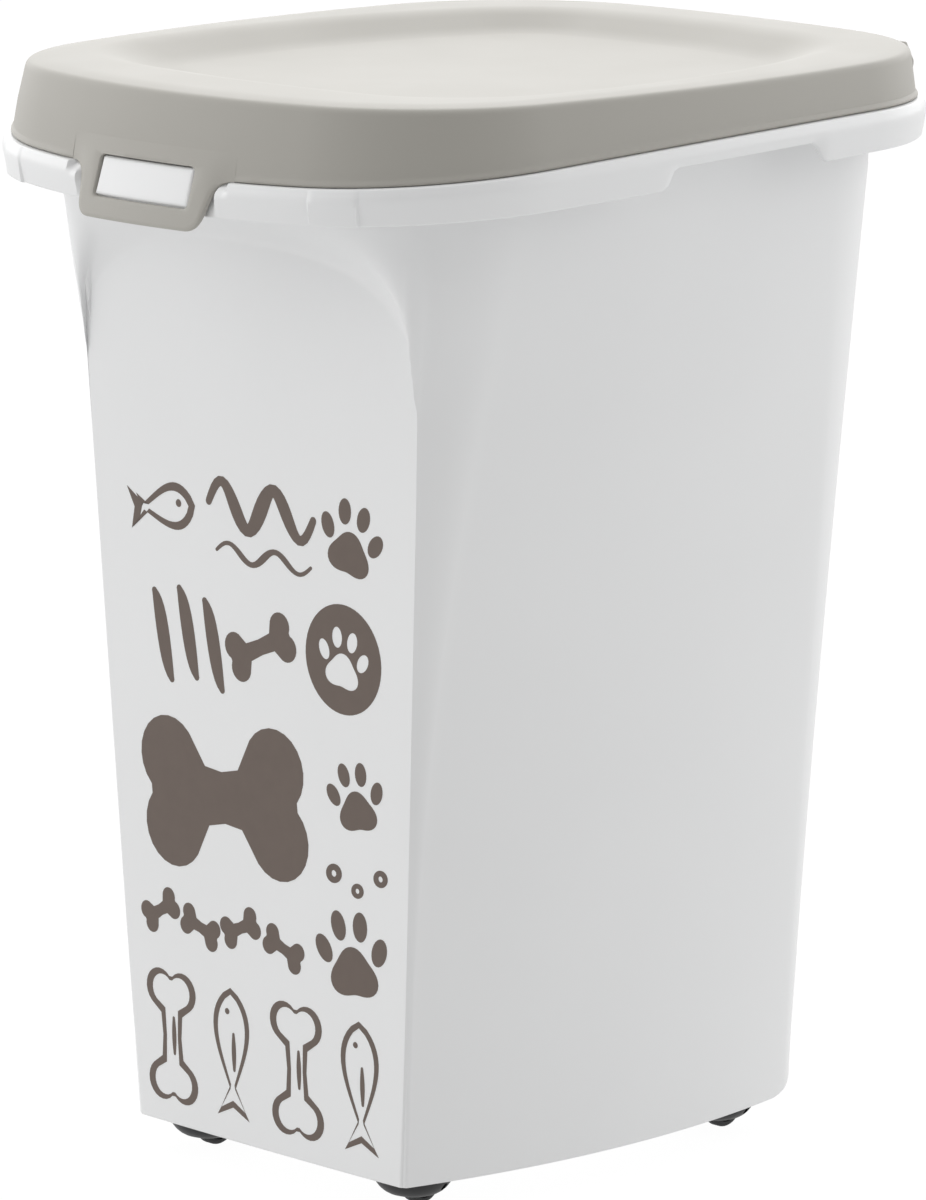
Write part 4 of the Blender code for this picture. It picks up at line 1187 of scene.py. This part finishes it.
# Light of the room: azimuth and elevation of each lobe in degrees, its sharpness and strength
LOBES = (
    (225, 0, 2, 1.5),
    (225, 40, 8, 1.36),
    (170, 10, 12, 1.05),
    (-45, 0, 2, 1.24),
    (-45, 15, 12, 0.85),
    (-80, 10, 12, 0.7),
    (135, 0, 2, 0.8),
    (135, 15, 12, 0.8),
    (45, 90, 2, 0.95),
)


def direction(azimuth, elevation):
    """A unit vector: azimuth 0 is the front and 90 the right side."""
    turn, tilt = math.radians(azimuth), math.radians(elevation)
    return Vector((math.sin(turn) * math.cos(tilt), -math.cos(turn) * math.cos(tilt), math.sin(tilt)))


TOWARDS_CAMERA = direction(45.63, 11.43)


def camera():
    lens = bpy.data.cameras.new("view")
    lens.lens = LENS
    lens.sensor_width = 36
    lens.shift_x = LENS_SHIFT
    lens.clip_end = 2 * FLOOR_REACH
    eye = added("view", lens)
    eye.location = AIM + TOWARDS_CAMERA * DISTANCE
    eye.rotation_euler = (-TOWARDS_CAMERA).to_track_quat("-Z", "Y").to_euler()
    bpy.context.scene.camera = eye


def maths(tree, operation, *values):
    """A sum of the node tree, on numbers or on other nodes' outputs."""
    return node(tree, "Math", dict(enumerate(values)), operation=operation)


def floor():
    """White paper: it lights the underside, and the viewer sees only a trace of shadow on it."""
    mesh = bpy.data.meshes.new("floor")
    corners = [(x * FLOOR_REACH, y * FLOOR_REACH, 0) for x, y in ((-1, -1), (1, -1), (1, 1), (-1, 1))]
    mesh.from_pydata(corners, [], [(0, 1, 2, 3)])
    made, tree, shader = shaded("floor_paper")
    put(tree, shader, {"Base Color": (0.2, 0.2, 0.2, 1), "Roughness": 0.8, "Specular IOR Level": 0.0,
                       "Emission Color": (1, 1, 1, 1), "Emission Strength": FLOOR_GLOW})
    veil = maths(tree, "MULTIPLY", node(tree, "LightPath", {}, "Is Camera Ray"), 0.8)
    white = node(tree, "Emission", {"Strength": PAPER_WHITE})
    seen = node(tree, "MixShader", {0: veil, 1: shader.outputs["BSDF"], 2: white})
    put(tree, tree.nodes["Material Output"], {"Surface": seen})
    mesh.materials.append(made)
    added("floor", mesh)


def surroundings():
    """A white room lit from behind and from both sides, as a sum of soft lobes of light."""
    world = bpy.data.worlds.new("studio")
    bpy.context.scene.world = world
    world.use_nodes = True
    tree = world.node_tree
    ray = node(tree, "TexCoord", {}, "Generated")
    total = 0.0
    for azimuth, elevation, sharpness, strength in LOBES:
        towards = node(tree, "VectorMath", {0: ray, 1: direction(azimuth, elevation)}, "Value",
                       operation="DOT_PRODUCT")
        lobe = maths(tree, "POWER", maths(tree, "MAXIMUM", towards, 0.0), sharpness)
        total = maths(tree, "MULTIPLY_ADD", lobe, strength, total)
    seen = maths(tree, "MULTIPLY", node(tree, "LightPath", {}, "Is Camera Ray"), PAPER_WHITE)
    put(tree, tree.nodes["Background"], {"Color": (1, 1, 1, 1),
                                         "Strength": maths(tree, "MAXIMUM", seen, total)})


def stage():
    camera()
    floor()
    surroundings()
    bpy.context.scene.view_settings.view_transform = "Standard"


def main():
    tub()
    catch()
    lid()
    seal()
    tongue()
    hinges()
    for name in ("front_left", "front_right", "rear_left", "rear_right"):
        castor(name)
    decoration()
    stage()


main()
